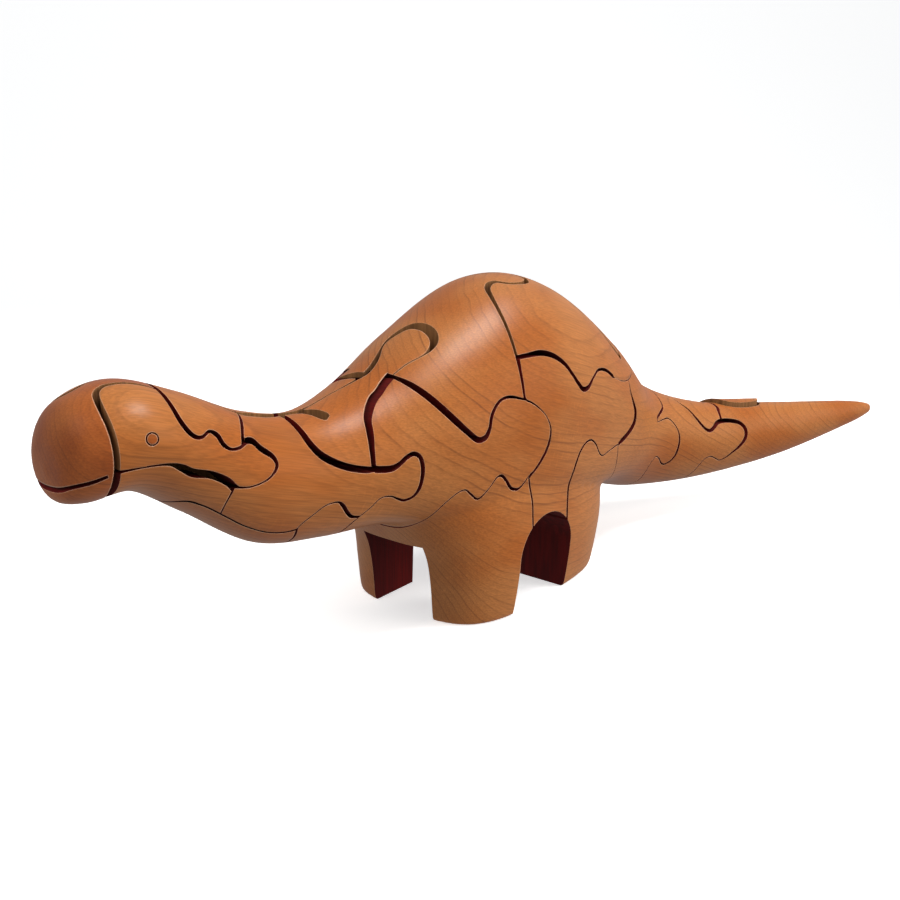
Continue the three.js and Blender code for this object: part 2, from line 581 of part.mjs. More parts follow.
// Tail, with a key that stands a little proud of its top
const [tailRear, tailRoot] = sawFromSide(tail, tailMiddleLineShares, towardTail);
const [tailEnd, tailMiddle] = sawFromSide(tailRear, tailTipLineShares, towardTail);
const [tailSaddle, tailEndRest] = sawFromSide(tailEnd, saddleLineShares, towardHead);
const [tailKeyDown, tailTip] = sawFromAbove(tailEndRest, tailKeyLineShares, towardRight);
const tailKey = tailKeyDown.translate([0, 0, keyLift]);

// Round peg across the head, from a given depth under the cheek outward
function eyePeg(side, radius, depth) {
  const reach = depth + sawOverrun;
  const peg = new THREE.CylinderGeometry(radius, radius, reach, eyeSides);
  const inner = eyeOutShare * bodyWidth - depth;
  peg.translate(eyeAlongShare * animalLength, side * (inner + reach / 2), eyeUpShare * backHeight);
  return solidOf(peg);
}

// Cheek with its eye socket, and the eye set flush in it
function cheekWithEye(blank, side) {
  const eye = blank.intersect(eyePeg(side, eyeDiameter / 2, eyeDepth - eyeClearance));
  const socket = eyePeg(side, eyeDiameter / 2 + eyeClearance, eyeDepth);
  return [blank.subtract(socket), eye];
}

const [cheekLeft, eyeLeft] = cheekWithEye(cheekLeftBlank, -1);
const [cheekRight, eyeRight] = cheekWithEye(cheekRightBlank, 1);

// Oiled cherry, a little darker where the end grain shows
function sandedCherry() {
  return new THREE.MeshStandardMaterial({ color: 0xb06a3a, roughness: 0.48, metalness: 0 });
}

function endGrainCherry() {
  return new THREE.MeshStandardMaterial({ color: 0x8f5230, roughness: 0.55, metalness: 0 });
}

const pieces = [
  ['muzzle', muzzle, endGrainCherry()],
  ['cheek_left', cheekLeft, sandedCherry()],
  ['cheek_right', cheekRight, sandedCherry()],
  ['eye_left', eyeLeft, endGrainCherry()],
  ['eye_right', eyeRight, endGrainCherry()],
  ['jaw', jaw, sandedCherry()],
  ['nape_left', napeLeft, sandedCherry()],
  ['nape_right', napeRight, sandedCherry()],
  ['throat', throat, sandedCherry()],
  ['neck_left', neckLeft, sandedCherry()],
  ['neck_right', neckRight, sandedCherry()],
  ['neck_band_left', bandLeft, sandedCherry()],
  ['neck_band_right', bandRight, sandedCherry()],
  ['chest', chest, sandedCherry()],
  ['hump_front', humpFront, sandedCherry()],
  ['hump_rear', humpRear, sandedCherry()],
  ['rump_right', rumpRight, sandedCherry()],
  ['shoulder', shoulder, sandedCherry()],
  ['front_legs', frontLegs, sandedCherry()],
  ['flank', flank, sandedCherry()],
  ['rear_legs', rearLegs, sandedCherry()],
  ['tail_root', tailRoot, sandedCherry()],
  ['tail_middle', tailMiddle, sandedCherry()],
  ['tail_saddle', tailSaddle, sandedCherry()],
  ['tail_tip', tailTip, sandedCherry()],
  ['tail_key', tailKey, sandedCherry()],
];

const group = new THREE.Group();
group.name = 'sauropod_jigsaw';
for (const [name, piece, material] of pieces) {
  const mesh = new THREE.Mesh(geometryOf(piece), material);
  mesh.name = name;
  group.add(mesh);
}

// Soles on the ground, middle of the length and width over the origin
const extent = new THREE.Box3().setFromObject(group);
const middle = extent.getCenter(new THREE.Vector3());
group.position.set(-middle.x, -middle.y, -extent.min.z);
group.updateMatrixWorld(true);

export default group;
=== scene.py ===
"""Sauropod jigsaw in oiled cherry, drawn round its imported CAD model.

One block is carved all round, sawn from the side and from above along the same lines as the CAD
solids, and every piece gets sanded edges and a cherry figure that runs on from piece to piece.
"""

import math

import bmesh
import bpy
import numpy as np
from mathutils import Matrix, Vector
from mathutils.geometry import tessellate_polygon


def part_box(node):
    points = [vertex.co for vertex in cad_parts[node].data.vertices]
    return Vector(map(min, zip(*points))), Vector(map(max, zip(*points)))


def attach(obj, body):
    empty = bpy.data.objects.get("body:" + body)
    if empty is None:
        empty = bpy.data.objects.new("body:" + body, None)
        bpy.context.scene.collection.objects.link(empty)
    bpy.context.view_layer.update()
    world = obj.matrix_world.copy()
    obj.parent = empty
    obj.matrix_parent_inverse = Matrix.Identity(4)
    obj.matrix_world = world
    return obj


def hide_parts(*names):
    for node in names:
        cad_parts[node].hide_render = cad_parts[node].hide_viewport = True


bl_info = {
    "name": "Sauropod Jigsaw",
    "version": (1, 0, 0),
    "blender": (4, 5, 0),
    "location": "3D View > Sidebar > Jigsaw",
    "description": "Carves, saws and finishes a wooden sauropod jigsaw, and lights it",
    "category": "Object",
}

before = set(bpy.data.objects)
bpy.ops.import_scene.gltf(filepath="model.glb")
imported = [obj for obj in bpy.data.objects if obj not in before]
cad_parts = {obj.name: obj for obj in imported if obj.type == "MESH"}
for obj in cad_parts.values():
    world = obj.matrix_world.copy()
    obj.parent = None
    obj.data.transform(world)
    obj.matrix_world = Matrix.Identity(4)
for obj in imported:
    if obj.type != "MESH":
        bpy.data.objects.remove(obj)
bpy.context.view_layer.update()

# Carved body, nose to tail tip: place along, sideways centre, top, bottom, half width,
# level of the widest point, and how square the upper and lower halves are
BODY_SHARES = [
    [-0.294, 0, 0.676, 0.664, 0.006, 0.5, 2, 2],
    [-0.2911, 0, 0.748, 0.612, 0.107, 0.5, 2, 2],
    [-0.2778, 0, 0.804, 0.596, 0.175, 0.5, 2, 2],
    [-0.2488, 0, 0.829, 0.597, 0.213, 0.5, 2, 2],
    [-0.2112, 0, 0.788, 0.512, 0.21, 0.5, 2, 2],
    [-0.162, 0, 0.716, 0.393, 0.21, 0.5, 2, 2],
    [-0.11, 0, 0.69, 0.355, 0.236, 0.5, 2, 2.1],
    [-0.0521, 0, 0.752, 0.339, 0.305, 0.45, 2, 2.4],
    [0.0145, 0, 0.875, 0.297, 0.412, 0.4, 2, 4],
    [0.1013, 0, 1, 0.28, 0.488, 0.4, 2, 4.6],
    [0.1794, 0, 0.979, 0.26, 0.503, 0.4, 2, 4.4],
    [0.2604, -0.046, 0.822, 0.222, 0.45, 0.43, 2, 3],
    [0.3385, -0.183, 0.59, 0.15, 0.305, 0.5, 2, 2.2],
    [0.434, -0.442, 0.466, 0.14, 0.213, 0.5, 2, 2],
    [0.5498, -0.762, 0.427, 0.187, 0.145, 0.5, 2, 2],
    [0.6597, -1.067, 0.4, 0.28, 0.072, 0.5, 2, 2],
    [0.6988, -1.177, 0.378, 0.325, 0.032, 0.5, 2, 2],
    [0.7046, -1.192, 0.355, 0.345, 0.005, 0.5, 2, 2],
]

# Block of the four legs, sole to shoulder: height, front, rear, half width and squareness
LEG_SHARES = [
    [0, -0.0017, 0.2255, 0.436, 3.6],
    [0.014, -0.0041, 0.23, 0.453, 3.6],
    [0.12, -0.0069, 0.2375, 0.476, 3.4],
    [0.21, -0.0127, 0.2465, 0.485, 3.1],
    [0.29, -0.026, 0.256, 0.479, 2.7],
    [0.36, -0.0376, 0.26, 0.47, 2.5],
    [0.44, -0.0318, 0.2575, 0.454, 2.4],
    [0.5, -0.0231, 0.2488, 0.419, 2.3],
]

# Gap between the left and right legs: ends in front of the shoulder and behind the rear legs
LEG_GAP_FRONT_SHARE = -0.0723
LEG_GAP_REAR_SHARE = 0.2584

# Arch between the front and rear legs: its front at the foot, its front and rear higher up, and the
# levels where it starts to close and where it ends
ARCH_FRONT_FOOT_SHARE = 0.0455
ARCH_FRONT_SHARE = 0.0515
ARCH_REAR_SHARE = 0.131
ARCH_SPRING_SHARE = 0.17
ARCH_CROWN_SHARE = 0.297

# Saw lines seen from the side, as places along, heights and widths of the cut in blade kerfs
THROAT_LINE_SHARES = [[
    [-0.2488, 0.5, 0.5], [-0.2315, 0.556, 0.5], [-0.2242, 0.566, 0.5], [-0.2141, 0.55, 0.35],
    [-0.2025, 0.522, 0.3], [-0.1953, 0.503, 0.3], [-0.1852, 0.477, 0.3], [-0.1725, 0.451, 0.3],
    [-0.1623, 0.437, 0.4], [-0.1525, 0.431, 0.5], [-0.1455, 0.432, 0.6],
], [
    [-0.1455, 0.432, 0.6], [-0.1429, 0.4, 0.6], [-0.1418, 0.3, 0.6],
]]
COLLAR_LINE_SHARES = [[
    [-0.1591, 1.1, 0.3], [-0.1655, 0.78, 0.3], [-0.1736, 0.725, 0.5], [-0.18, 0.706, 0.9],
    [-0.1846, 0.69, 0.9], [-0.1869, 0.676, 1.2],
], [
    [-0.1869, 0.676, 1.2], [-0.1791, 0.672, 1.6], [-0.1739, 0.652, 1.6], [-0.1655, 0.626, 1.3],
    [-0.1646, 0.608, 1], [-0.1696, 0.591, 0.6], [-0.1771, 0.581, 0.4], [-0.1884, 0.578, 0.4],
    [-0.1991, 0.586, 0.6],
], [
    [-0.1991, 0.586, 0.6], [-0.2018, 0.549, 0.3], [-0.2013, 0.521, 0.3], [-0.1993, 0.497, 0.3],
    [-0.198, 0.46, 0.3], [-0.198, 0.38, 0.3],
]]
JAW_LINE_SHARES = [[
    [-0.2665, 0.5, 1], [-0.2679, 0.6, 1], [-0.2694, 0.65, 1], [-0.2697, 0.672, 0.8],
], [
    [-0.2679, 0.672, 0.6], [-0.2546, 0.672, 0.3], [-0.2416, 0.667, 0.3], [-0.2344, 0.65, 0.3],
    [-0.2274, 0.632, 0.3], [-0.215, 0.619, 0.3], [-0.204, 0.594, 0.3], [-0.1988, 0.574, 0.3],
    [-0.1852, 0.536, 0.3],
]]
# The jaw's gape, cut from both cheeks alone
JAW_OPENING_LINE_SHARES = [[
    [-0.2546, 0.673, 0.3], [-0.2416, 0.669, 0.6], [-0.2344, 0.657, 1.6], [-0.2274, 0.641, 1.9],
    [-0.215, 0.627, 1.7], [-0.204, 0.603, 1.9], [-0.1988, 0.583, 2], [-0.1852, 0.545, 2],
]]
NAPE_LINE_SHARES = [[
    [-0.2286, 0.9, 1], [-0.2306, 0.815, 1.2], [-0.2312, 0.775, 1.3], [-0.2303, 0.749, 1.3],
    [-0.2263, 0.722, 1.2], [-0.2216, 0.71, 0.9], [-0.2176, 0.709, 0.7], [-0.2115, 0.715, 0.7],
    [-0.2063, 0.703, 1.3], [-0.204, 0.684, 1.2], [-0.1991, 0.67, 0.7], [-0.1924, 0.667, 0.7],
    [-0.1852, 0.672, 0.7],
]]
BACK_LINE_SHARES = [[
    [-0.1317, 0.76, 2.1], [-0.1325, 0.69, 2.1], [-0.1322, 0.66, 2.1], [-0.1308, 0.632, 2.1],
    [-0.1262, 0.606, 2.1], [-0.1166, 0.581, 2], [-0.1047, 0.561, 1.9], [-0.0917, 0.548, 1.8],
    [-0.0862, 0.546, 1.5],
], [
    [-0.0862, 0.546, 1.5], [-0.0855, 0.572, 1.5], [-0.0842, 0.597, 1.6], [-0.0826, 0.617, 1.8],
    [-0.0805, 0.639, 1.9], [-0.078, 0.66, 1.8], [-0.0722, 0.682, 1.6], [-0.0644, 0.703, 1.4],
    [-0.0561, 0.719, 1.2], [-0.047, 0.738, 1.1], [-0.0394, 0.753, 1.1],
], [
    [-0.0394, 0.753, 1.1], [-0.034, 0.735, 1.9], [-0.0279, 0.708, 2.2], [-0.0205, 0.672, 2.2],
    [-0.012, 0.634, 2.1], [-0.004, 0.603, 1.9], [0.0055, 0.575, 1.8], [0.0127, 0.578, 1.6],
    [0.0179, 0.6, 1.2], [0.0214, 0.63, 1.1], [0.0278, 0.657, 0.9], [0.0353, 0.673, 0.8],
    [0.0448, 0.676, 0.9], [0.0593, 0.663, 0.6],
], [
    [0.0593, 0.663, 0.6], [0.0602, 0.7, 0.8], [0.0616, 0.74, 0.9], [0.0637, 0.779, 1.2],
], [
    [0.0637, 0.779, 1.2], [0.0752, 0.782, 1.4], [0.0909, 0.784, 1.8], [0.1045, 0.772, 1.8],
    [0.1175, 0.744, 1.6], [0.1256, 0.712, 1.4], [0.1334, 0.679, 1.6], [0.1406, 0.658, 1.7],
    [0.1502, 0.66, 1.5], [0.1617, 0.684, 0.9], [0.1748, 0.703, 0.9], [0.191, 0.695, 1.2],
    [0.204, 0.67, 1.2], [0.206, 0.666, 0.3], [0.2257, 0.645, 0.3], [0.2459, 0.642, 0.3],
    [0.2691, 0.672, 0.3], [0.2894, 0.74, 0.3], [0.3067, 0.84, 0.3],
]]
BAND_LINE_SHARES = [[
    [-0.0865, 1.1, 0.3], [-0.0865, 0.8, 0.3], [-0.0862, 0.546, 0.3],
], [
    [-0.0862, 0.546, 1.9], [-0.079, 0.541, 1.9], [-0.0706, 0.539, 1.8], [-0.0645, 0.546, 1.4],
    [-0.0582, 0.559, 1.3], [-0.0515, 0.566, 1.3], [-0.0469, 0.557, 1.3], [-0.0446, 0.53, 1.3],
    [-0.0451, 0.495, 1.2], [-0.0472, 0.465, 1.1], [-0.0512, 0.447, 0.9], [-0.0579, 0.442, 0.8],
    [-0.0639, 0.451, 0.6], [-0.0709, 0.463, 0.4], [-0.0796, 0.464, 0.3], [-0.0859, 0.444, 0.3],
    [-0.094, 0.42, 0.3],
], [
    [-0.094, 0.42, 0.3], [-0.0978, 0.401, 0.5], [-0.0995, 0.374, 0.5], [-0.1013, 0.28, 0.5],
]]
CHEST_LINE_SHARES = [[
    [-0.1476, 0.42, 0.3], [-0.1438, 0.445, 0.3], [-0.1348, 0.467, 0.3], [-0.1273, 0.481, 0.3],
    [-0.1163, 0.482, 0.5], [-0.112, 0.47, 1], [-0.1071, 0.448, 1], [-0.1013, 0.429, 0.9],
    [-0.0926, 0.42, 0.7],
]]
FLANK_LINE_SHARES = [[
    [0.0587, 1.1, 0.3], [0.059, 0.9, 0.3], [0.0593, 0.68, 0.3],
], [
    [0.0593, 0.68, 0.6], [0.0605, 0.662, 0.6], [0.066, 0.652, 0.6], [0.0723, 0.638, 0.5],
    [0.0833, 0.603, 0.3], [0.0891, 0.559, 0.7], [0.0859, 0.511, 1.1], [0.0758, 0.466, 1],
    [0.0631, 0.428, 0.6],
], [
    [0.0631, 0.428, 0.7], [0.0677, 0.36, 0.7], [0.0677, 0.28, 0.7], [0.0671, -0.3, 0.7],
]]
FRONT_LEG_LINE_SHARES = [[
    [-0.026, 0.2, 0.3], [-0.0289, 0.29, 0.3], [-0.0295, 0.34, 0.3], [-0.0246, 0.398, 0.3],
    [-0.0139, 0.434, 0.3], [-0.0067, 0.44, 0.4], [-0.0006, 0.423, 0.6], [0.0069, 0.404, 0.6],
    [0.0168, 0.428, 0.3], [0.0255, 0.457, 0.5], [0.0304, 0.457, 0.9], [0.0359, 0.438, 1], [0.042, 0.412, 1],
    [0.0495, 0.403, 0.9], [0.055, 0.41, 0.5], [0.0651, 0.44, 0.4], [0.0752, 0.45, 0.4],
]]
TAIL_ROOT_LINE_SHARES = [[
    [0.2445, 1.1, 0.3], [0.2445, 0.69, 0.3], [0.2431, 0.64, 0.3], [0.2425, 0.6, 0.8], [0.2454, 0.569, 1.4],
    [0.2503, 0.525, 2.1], [0.2474, 0.488, 2.4], [0.235, 0.46, 2.1], [0.215, 0.436, 1.5],
    [0.2127, 0.433, 0.4],
], [
    [0.2127, 0.433, 0.4], [0.2161, 0.376, 0.4], [0.2222, 0.326, 0.3], [0.2315, 0.285, 0.3],
    [0.2459, 0.258, 0.3], [0.2604, 0.235, 0.3], [0.2807, 0.2, 0.3], [0.2894, -0.3, 0.3],
]]
REAR_LEG_LINE_SHARES = [[
    [0.2894, 0.45, 0.4], [0.2315, 0.436, 0.4], [0.2118, 0.434, 0.4], [0.191, 0.422, 0.4],
    [0.1808, 0.417, 0.4], [0.1736, 0.431, 0.5], [0.1658, 0.464, 0.6], [0.1562, 0.486, 0.6],
    [0.1461, 0.484, 0.7], [0.1354, 0.455, 0.9], [0.1273, 0.387, 1], [0.125, 0.33, 1], [0.123, 0.28, 1],
    [0.1215, 0.18, 1],
]]
TAIL_MIDDLE_LINE_SHARES = [[
    [0.3535, 1, 0.4], [0.351, 0.7, 0.4], [0.3485, 0.54, 0.5], [0.3434, 0.49, 0.9], [0.3288, 0.472, 1.1],
    [0.3185, 0.459, 0.9], [0.319, 0.448, 0.4], [0.332, 0.447, 0.4], [0.3445, 0.446, 0.5],
    [0.3524, 0.429, 0.5], [0.3597, 0.394, 0.6], [0.362, 0.36, 0.9], [0.3614, 0.328, 1.1],
    [0.3588, 0.289, 1.1], [0.3536, 0.268, 0.9], [0.3458, 0.26, 0.7], [0.3385, 0.271, 0.6],
    [0.3299, 0.296, 0.5], [0.3223, 0.307, 0.4], [0.3166, 0.287, 0.4], [0.3174, 0.242, 0.4],
    [0.3241, 0.19, 0.4], [0.3299, -0.2, 0.4],
]]
TAIL_TIP_LINE_SHARES = [[
    [0.3733, 0.8, 0.3], [0.3791, 0.62, 0.3], [0.3863, 0.49, 0.35], [0.3927, 0.457, 0.9],
    [0.3964, 0.428, 1.2], [0.4013, 0.398, 1.3], [0.4062, 0.377, 1.3], [0.4129, 0.366, 1.5],
    [0.421, 0.376, 1.6], [0.4288, 0.391, 1.7], [0.4378, 0.394, 1.8], [0.4543, 0.388, 1.8],
    [0.4653, 0.374, 1.9], [0.4705, 0.349, 2], [0.4696, 0.315, 1.9], [0.4624, 0.284, 1.6],
    [0.4523, 0.258, 1], [0.4427, 0.236, 0.6], [0.4346, 0.23, 0.4], [0.4265, 0.243, 0.4],
    [0.417, 0.256, 0.4], [0.4097, 0.25, 0.4], [0.4057, 0.226, 0.4], [0.4045, 0.18, 0.4],
    [0.4051, -0.2, 0.4],
]]
SADDLE_LINE_SHARES = [[
    [0.4803, 0.8, 1], [0.463, 0.56, 1], [0.4549, 0.47, 1], [0.4485, 0.442, 1.1], [0.4433, 0.43, 1.1],
    [0.4395, 0.412, 1.1], [0.4363, 0.385, 1.1], [0.4349, 0.33, 1.1],
]]
MOUTH_LINE_SHARES = [[
    [-0.3067, 0.6, 0.9], [-0.2932, 0.638, 0.9], [-0.291, 0.646, 0.9], [-0.2884, 0.651, 0.9],
    [-0.2821, 0.6575, 0.9], [-0.2785, 0.662, 0.8], [-0.2749, 0.6665, 0.7],
]]

# Saw lines seen from above, as places along, sideways places and widths in blade kerfs
LEFT_CHEEK_LINE_SHARES = [[
    [-0.2705, -0.61, 1.1], [-0.2708, -0.198, 1.1], [-0.2698, -0.115, 1.2], [-0.2665, -0.068, 1.3],
    [-0.261, -0.05, 1.2], [-0.254, -0.053, 1.1], [-0.245, -0.062, 1], [-0.237, -0.072, 0.7],
    [-0.2286, -0.085, 0.4], [-0.2141, -0.061, 0.4], [-0.2025, -0.084, 0.4], [-0.191, -0.107, 0.4],
    [-0.1765, -0.084, 0.4], [-0.1447, -0.076, 0.4],
]]
RIGHT_CHEEK_LINE_SHARES = [[
    [-0.2792, 0.61, 1], [-0.2795, 0.17, 1], [-0.2788, 0.09, 1.1], [-0.2765, 0.042, 1.2],
    [-0.2725, 0.029, 1.3], [-0.267, 0.029, 1.1], [-0.26, 0.044, 0.9], [-0.2546, 0.058, 0.7],
    [-0.2431, 0.075, 0.5], [-0.2286, 0.085, 0.4], [-0.2141, 0.061, 0.4], [-0.2025, 0.084, 0.4],
    [-0.191, 0.107, 0.4], [-0.1765, 0.084, 0.4], [-0.1447, 0.076, 0.4],
]]
NAPE_RIDGE_LINE_SHARES = [[
    [-0.2604, 0.046, 0.5], [-0.2315, 0.046, 0.5], [-0.2199, 0.03, 0.5], [-0.2083, 0.03, 0.5],
    [-0.1968, 0, 0.6], [-0.1852, -0.04, 0.8], [-0.1736, -0.065, 0.9], [-0.1447, -0.07, 0.9],
]]
# Slot on top of the neck where the blade was turned
TURNING_SLOT_LINE_SHARES = [[
    [-0.126, -0.01, 2], [-0.1155, -0.016, 2.6], [-0.1087, -0.045, 3.4], [-0.105, -0.083, 3.6],
    [-0.1035, -0.1, 3.1], [-0.1027, -0.11, 1.8],
]]
BAND_RIDGE_LINE_SHARES = [[
    [-0.217, -0.03, 0.8], [-0.1794, -0.058, 1.2], [-0.17, -0.06, 1.6], [-0.1623, -0.05, 2.2],
    [-0.155, -0.044, 2.5], [-0.1433, -0.033, 2.5], [-0.1352, -0.02, 2.2], [-0.129, -0.014, 1.8],
    [-0.1215, -0.03, 0.5], [-0.1042, -0.03, 0.4], [-0.0868, 0.046, 0.4], [-0.0694, 0.061, 0.4],
    [-0.0521, 0.015, 0.4], [-0.0289, 0, 0.4],
]]
NECK_RIDGE_LINE_SHARES = [[
    [-0.1736, -0.016, 2.2], [-0.1331, -0.01, 2.6], [-0.124, -0.009, 2.6], [-0.1165, -0.008, 2],
    [-0.1085, -0.001, 1.1], [-0.1, 0.006, 0.6], [-0.09, 0.01, 0.5], [-0.0795, 0.008, 0.5],
    [-0.0668, -0.009, 0.5], [-0.0561, -0.022, 1], [-0.0487, -0.027, 1.8], [-0.04, -0.022, 1.9],
    [-0.03, -0.004, 1.6], [-0.0215, 0.018, 0.9], [-0.0148, 0.033, 0.7], [-0.0081, 0.036, 1.3],
    [0.0003, 0.024, 2.2], [0.0088, -0.004, 2.8], [0.012, -0.045, 3.2], [0.0123, -0.09, 3.4],
    [0.0102, -0.13, 3.3], [0.0055, -0.159, 2.4], [-0.0015, -0.17, 1.2], [-0.0085, -0.168, 0.4],
    [-0.0246, -0.14, 0.3], [-0.0376, -0.13, 0.3],
], [
    [-0.0376, -0.13, 0.3], [-0.0391, -0.381, 0.3], [-0.0391, -0.762, 0.3],
]]
NECK_RIGHT_LINE_SHARES = [[
    [-0.054, -0.762, 3], [-0.0525, -0.152, 3.2], [-0.052, 0, 3.2], [-0.0535, 0.046, 3.2],
    [-0.055, 0.107, 2.8], [-0.053, 0.168, 1.6], [-0.05, 0.229, 0.8], [-0.05, 0.29, 0.4],
    [-0.052, 0.351, 0.4], [-0.054, 0.762, 0.4],
]]
HUMP_LINE_SHARES = [[
    [0.055, -0.762, 0.9], [0.0584, -0.457, 0.9], [0.0625, -0.381, 1], [0.0666, -0.32, 1.1],
    [0.0715, -0.25, 1.2], [0.077, -0.189, 1.5], [0.0839, -0.137, 1.9], [0.092, -0.119, 1.9],
    [0.0995, -0.127, 1.4], [0.1071, -0.16, 1.1], [0.1215, -0.18, 1.2], [0.1374, -0.165, 1.6],
    [0.1441, -0.122, 1.6], [0.1412, -0.069, 1.1], [0.1302, -0.023, 1], [0.1157, 0, 1.2], [0.1056, 0.046, 1],
    [0.0998, 0.122, 0.4], [0.1042, 0.198, 0.4], [0.1013, 0.274, 0.4], [0.0868, 0.351, 0.4],
    [0.0781, 0.457, 0.4], [0.0752, 0.838, 0.4],
]]
RUMP_LINE_SHARES = [[
    [0.0434, -0.084, 0.4], [0.11, -0.076, 0.4], [0.1302, 0, 0.4], [0.1447, 0.061, 0.4], [0.162, 0.06, 0.4],
    [0.1765, 0, 0.4], [0.191, -0.08, 0.5], [0.2054, -0.19, 0.7], [0.217, -0.28, 0.9], [0.226, -0.345, 1.3],
    [0.231, -0.375, 1.5], [0.237, -0.389, 1.4], [0.2425, -0.405, 1], [0.248, -0.38, 0.8],
    [0.256, -0.31, 0.8], [0.2749, -0.2, 0.8], [0.3183, -0.15, 0.8],
]]
TAIL_KEY_LINE_SHARES = [[
    [0.462, 0.152, 0.8], [0.462, -0.5, 0.8], [0.4635, -0.565, 0.8], [0.472, -0.612, 0.6],
    [0.4817, -0.645, 0.6], [0.4971, -0.683, 0.6], [0.5122, -0.709, 0.9], [0.5235, -0.7, 1.3],
    [0.529, -0.64, 1.3], [0.529, 0.152, 1.3],
]]
# Eyes: places along, up and out from the middle
EYE_ALONG_SHARE = -0.2512
EYE_UP_SHARE = 0.727
EYE_OUT_SHARE = 0.21

# How finely the skin, the saw lines and the round parts are drawn
BODY_STEPS = 360
LEG_STEPS = 60
ROUND_STEPS = 112
ARCH_STEPS = 24
SAW_STEPS = 6
EYE_SIDES = 48

# How far the outer corner of a kerf may run out, where the blade turns sharply
BLUNTEST_TURN = 0.6

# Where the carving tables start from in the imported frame: the middle between the eyes gives the
# plane that halves the head, and the nose gives the place along
MIDDLE_PLANE = (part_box("eye_left")[0][1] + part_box("eye_right")[1][1]) / 2
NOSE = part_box("muzzle")[0][0]
TAIL_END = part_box("tail_tip")[1][0]
ANIMAL_LENGTH = (TAIL_END - NOSE) / (BODY_SHARES[-1][0] - BODY_SHARES[0][0])
START_ALONG = NOSE - BODY_SHARES[0][0] * ANIMAL_LENGTH

# Sides of a saw line: toward the head or tail and up or down in side view, left or right in plan
TOWARD_HEAD = (-1, 0)
TOWARD_TAIL = (1, 0)
UPWARD = (0, 1)
DOWNWARD = (0, -1)
TOWARD_LEFT = (0, -1)
TOWARD_RIGHT = (0, 1)

# What can leave a face: the carver's rasp, or the saw from the side or from above
CARVER, SIDE_SAW, TOP_SAW = "carved", "sawn from the side", "sawn from above"
MARK_VALUES = {SIDE_SAW: 1.0, TOP_SAW: 2.0}

# Faces that meet more sharply than this, in degrees, keep a crisp edge
CRISP_ANGLE = 34

SANDING = 0.5
BLANK_ROUNDS = 2


class JigsawSizes(bpy.types.PropertyGroup):
    """Sizes of the carved animal and of the saw."""

    length: bpy.props.FloatProperty(
        name="Length", description="Length that the places along are shares of",
        default=ANIMAL_LENGTH, min=0.1, unit="LENGTH")
    height: bpy.props.FloatProperty(
        name="Back height", description="Height of the hump above the soles",
        default=0.125, min=0.05, unit="LENGTH")
    width: bpy.props.FloatProperty(
        name="Body width", description="Width across the hump",
        default=0.082, min=0.02, unit="LENGTH")
    leg_gap_width: bpy.props.FloatProperty(
        name="Leg gap width", description="Space between the left and right legs",
        default=0.0295, min=0.01, unit="LENGTH")
    leg_gap_height: bpy.props.FloatProperty(
        name="Leg gap height", description="Height of the space between the legs",
        default=0.031, min=0.01, unit="LENGTH")
    kerf: bpy.props.FloatProperty(
        name="Blade kerf", description="Width of the cut that one pass of the blade leaves",
        default=0.0012, min=0.0003, unit="LENGTH")
    eye_diameter: bpy.props.FloatProperty(
        name="Eye diameter", description="Diameter of the eye pegs",
        default=0.0026, min=0.001, unit="LENGTH")
    eye_depth: bpy.props.FloatProperty(
        name="Eye depth", description="Depth of the eye sockets",
        default=0.006, min=0.001, unit="LENGTH")
    eye_clearance: bpy.props.FloatProperty(
        name="Eye clearance", description="Gap between a peg and its socket",
        default=0.00035, min=0.0001, unit="LENGTH")
    key_lift: bpy.props.FloatProperty(
        name="Key lift", description="How far the tail key stands proud",
        default=0.0022, min=0.0, unit="LENGTH")
    overrun: bpy.props.FloatProperty(
        name="Saw overrun", description="How far the saw runs on past the wood",
        default=0.03, min=0.01, unit="LENGTH")
    blank_grain: bpy.props.FloatProperty(
        name="Blank fineness", description="Size of the faces of the carved block before sawing",
        default=0.00085, min=0.0004, unit="LENGTH")
    crotch_rounds: bpy.props.IntProperty(
        name="Crotch sanding", description="Rounds of sanding where the legs run into the belly",
        default=40, min=0)
    arris: bpy.props.FloatProperty(
        name="Eased arris", description="Radius of the sanded arris along the cuts",
        default=0.0004, min=0.0, unit="LENGTH")


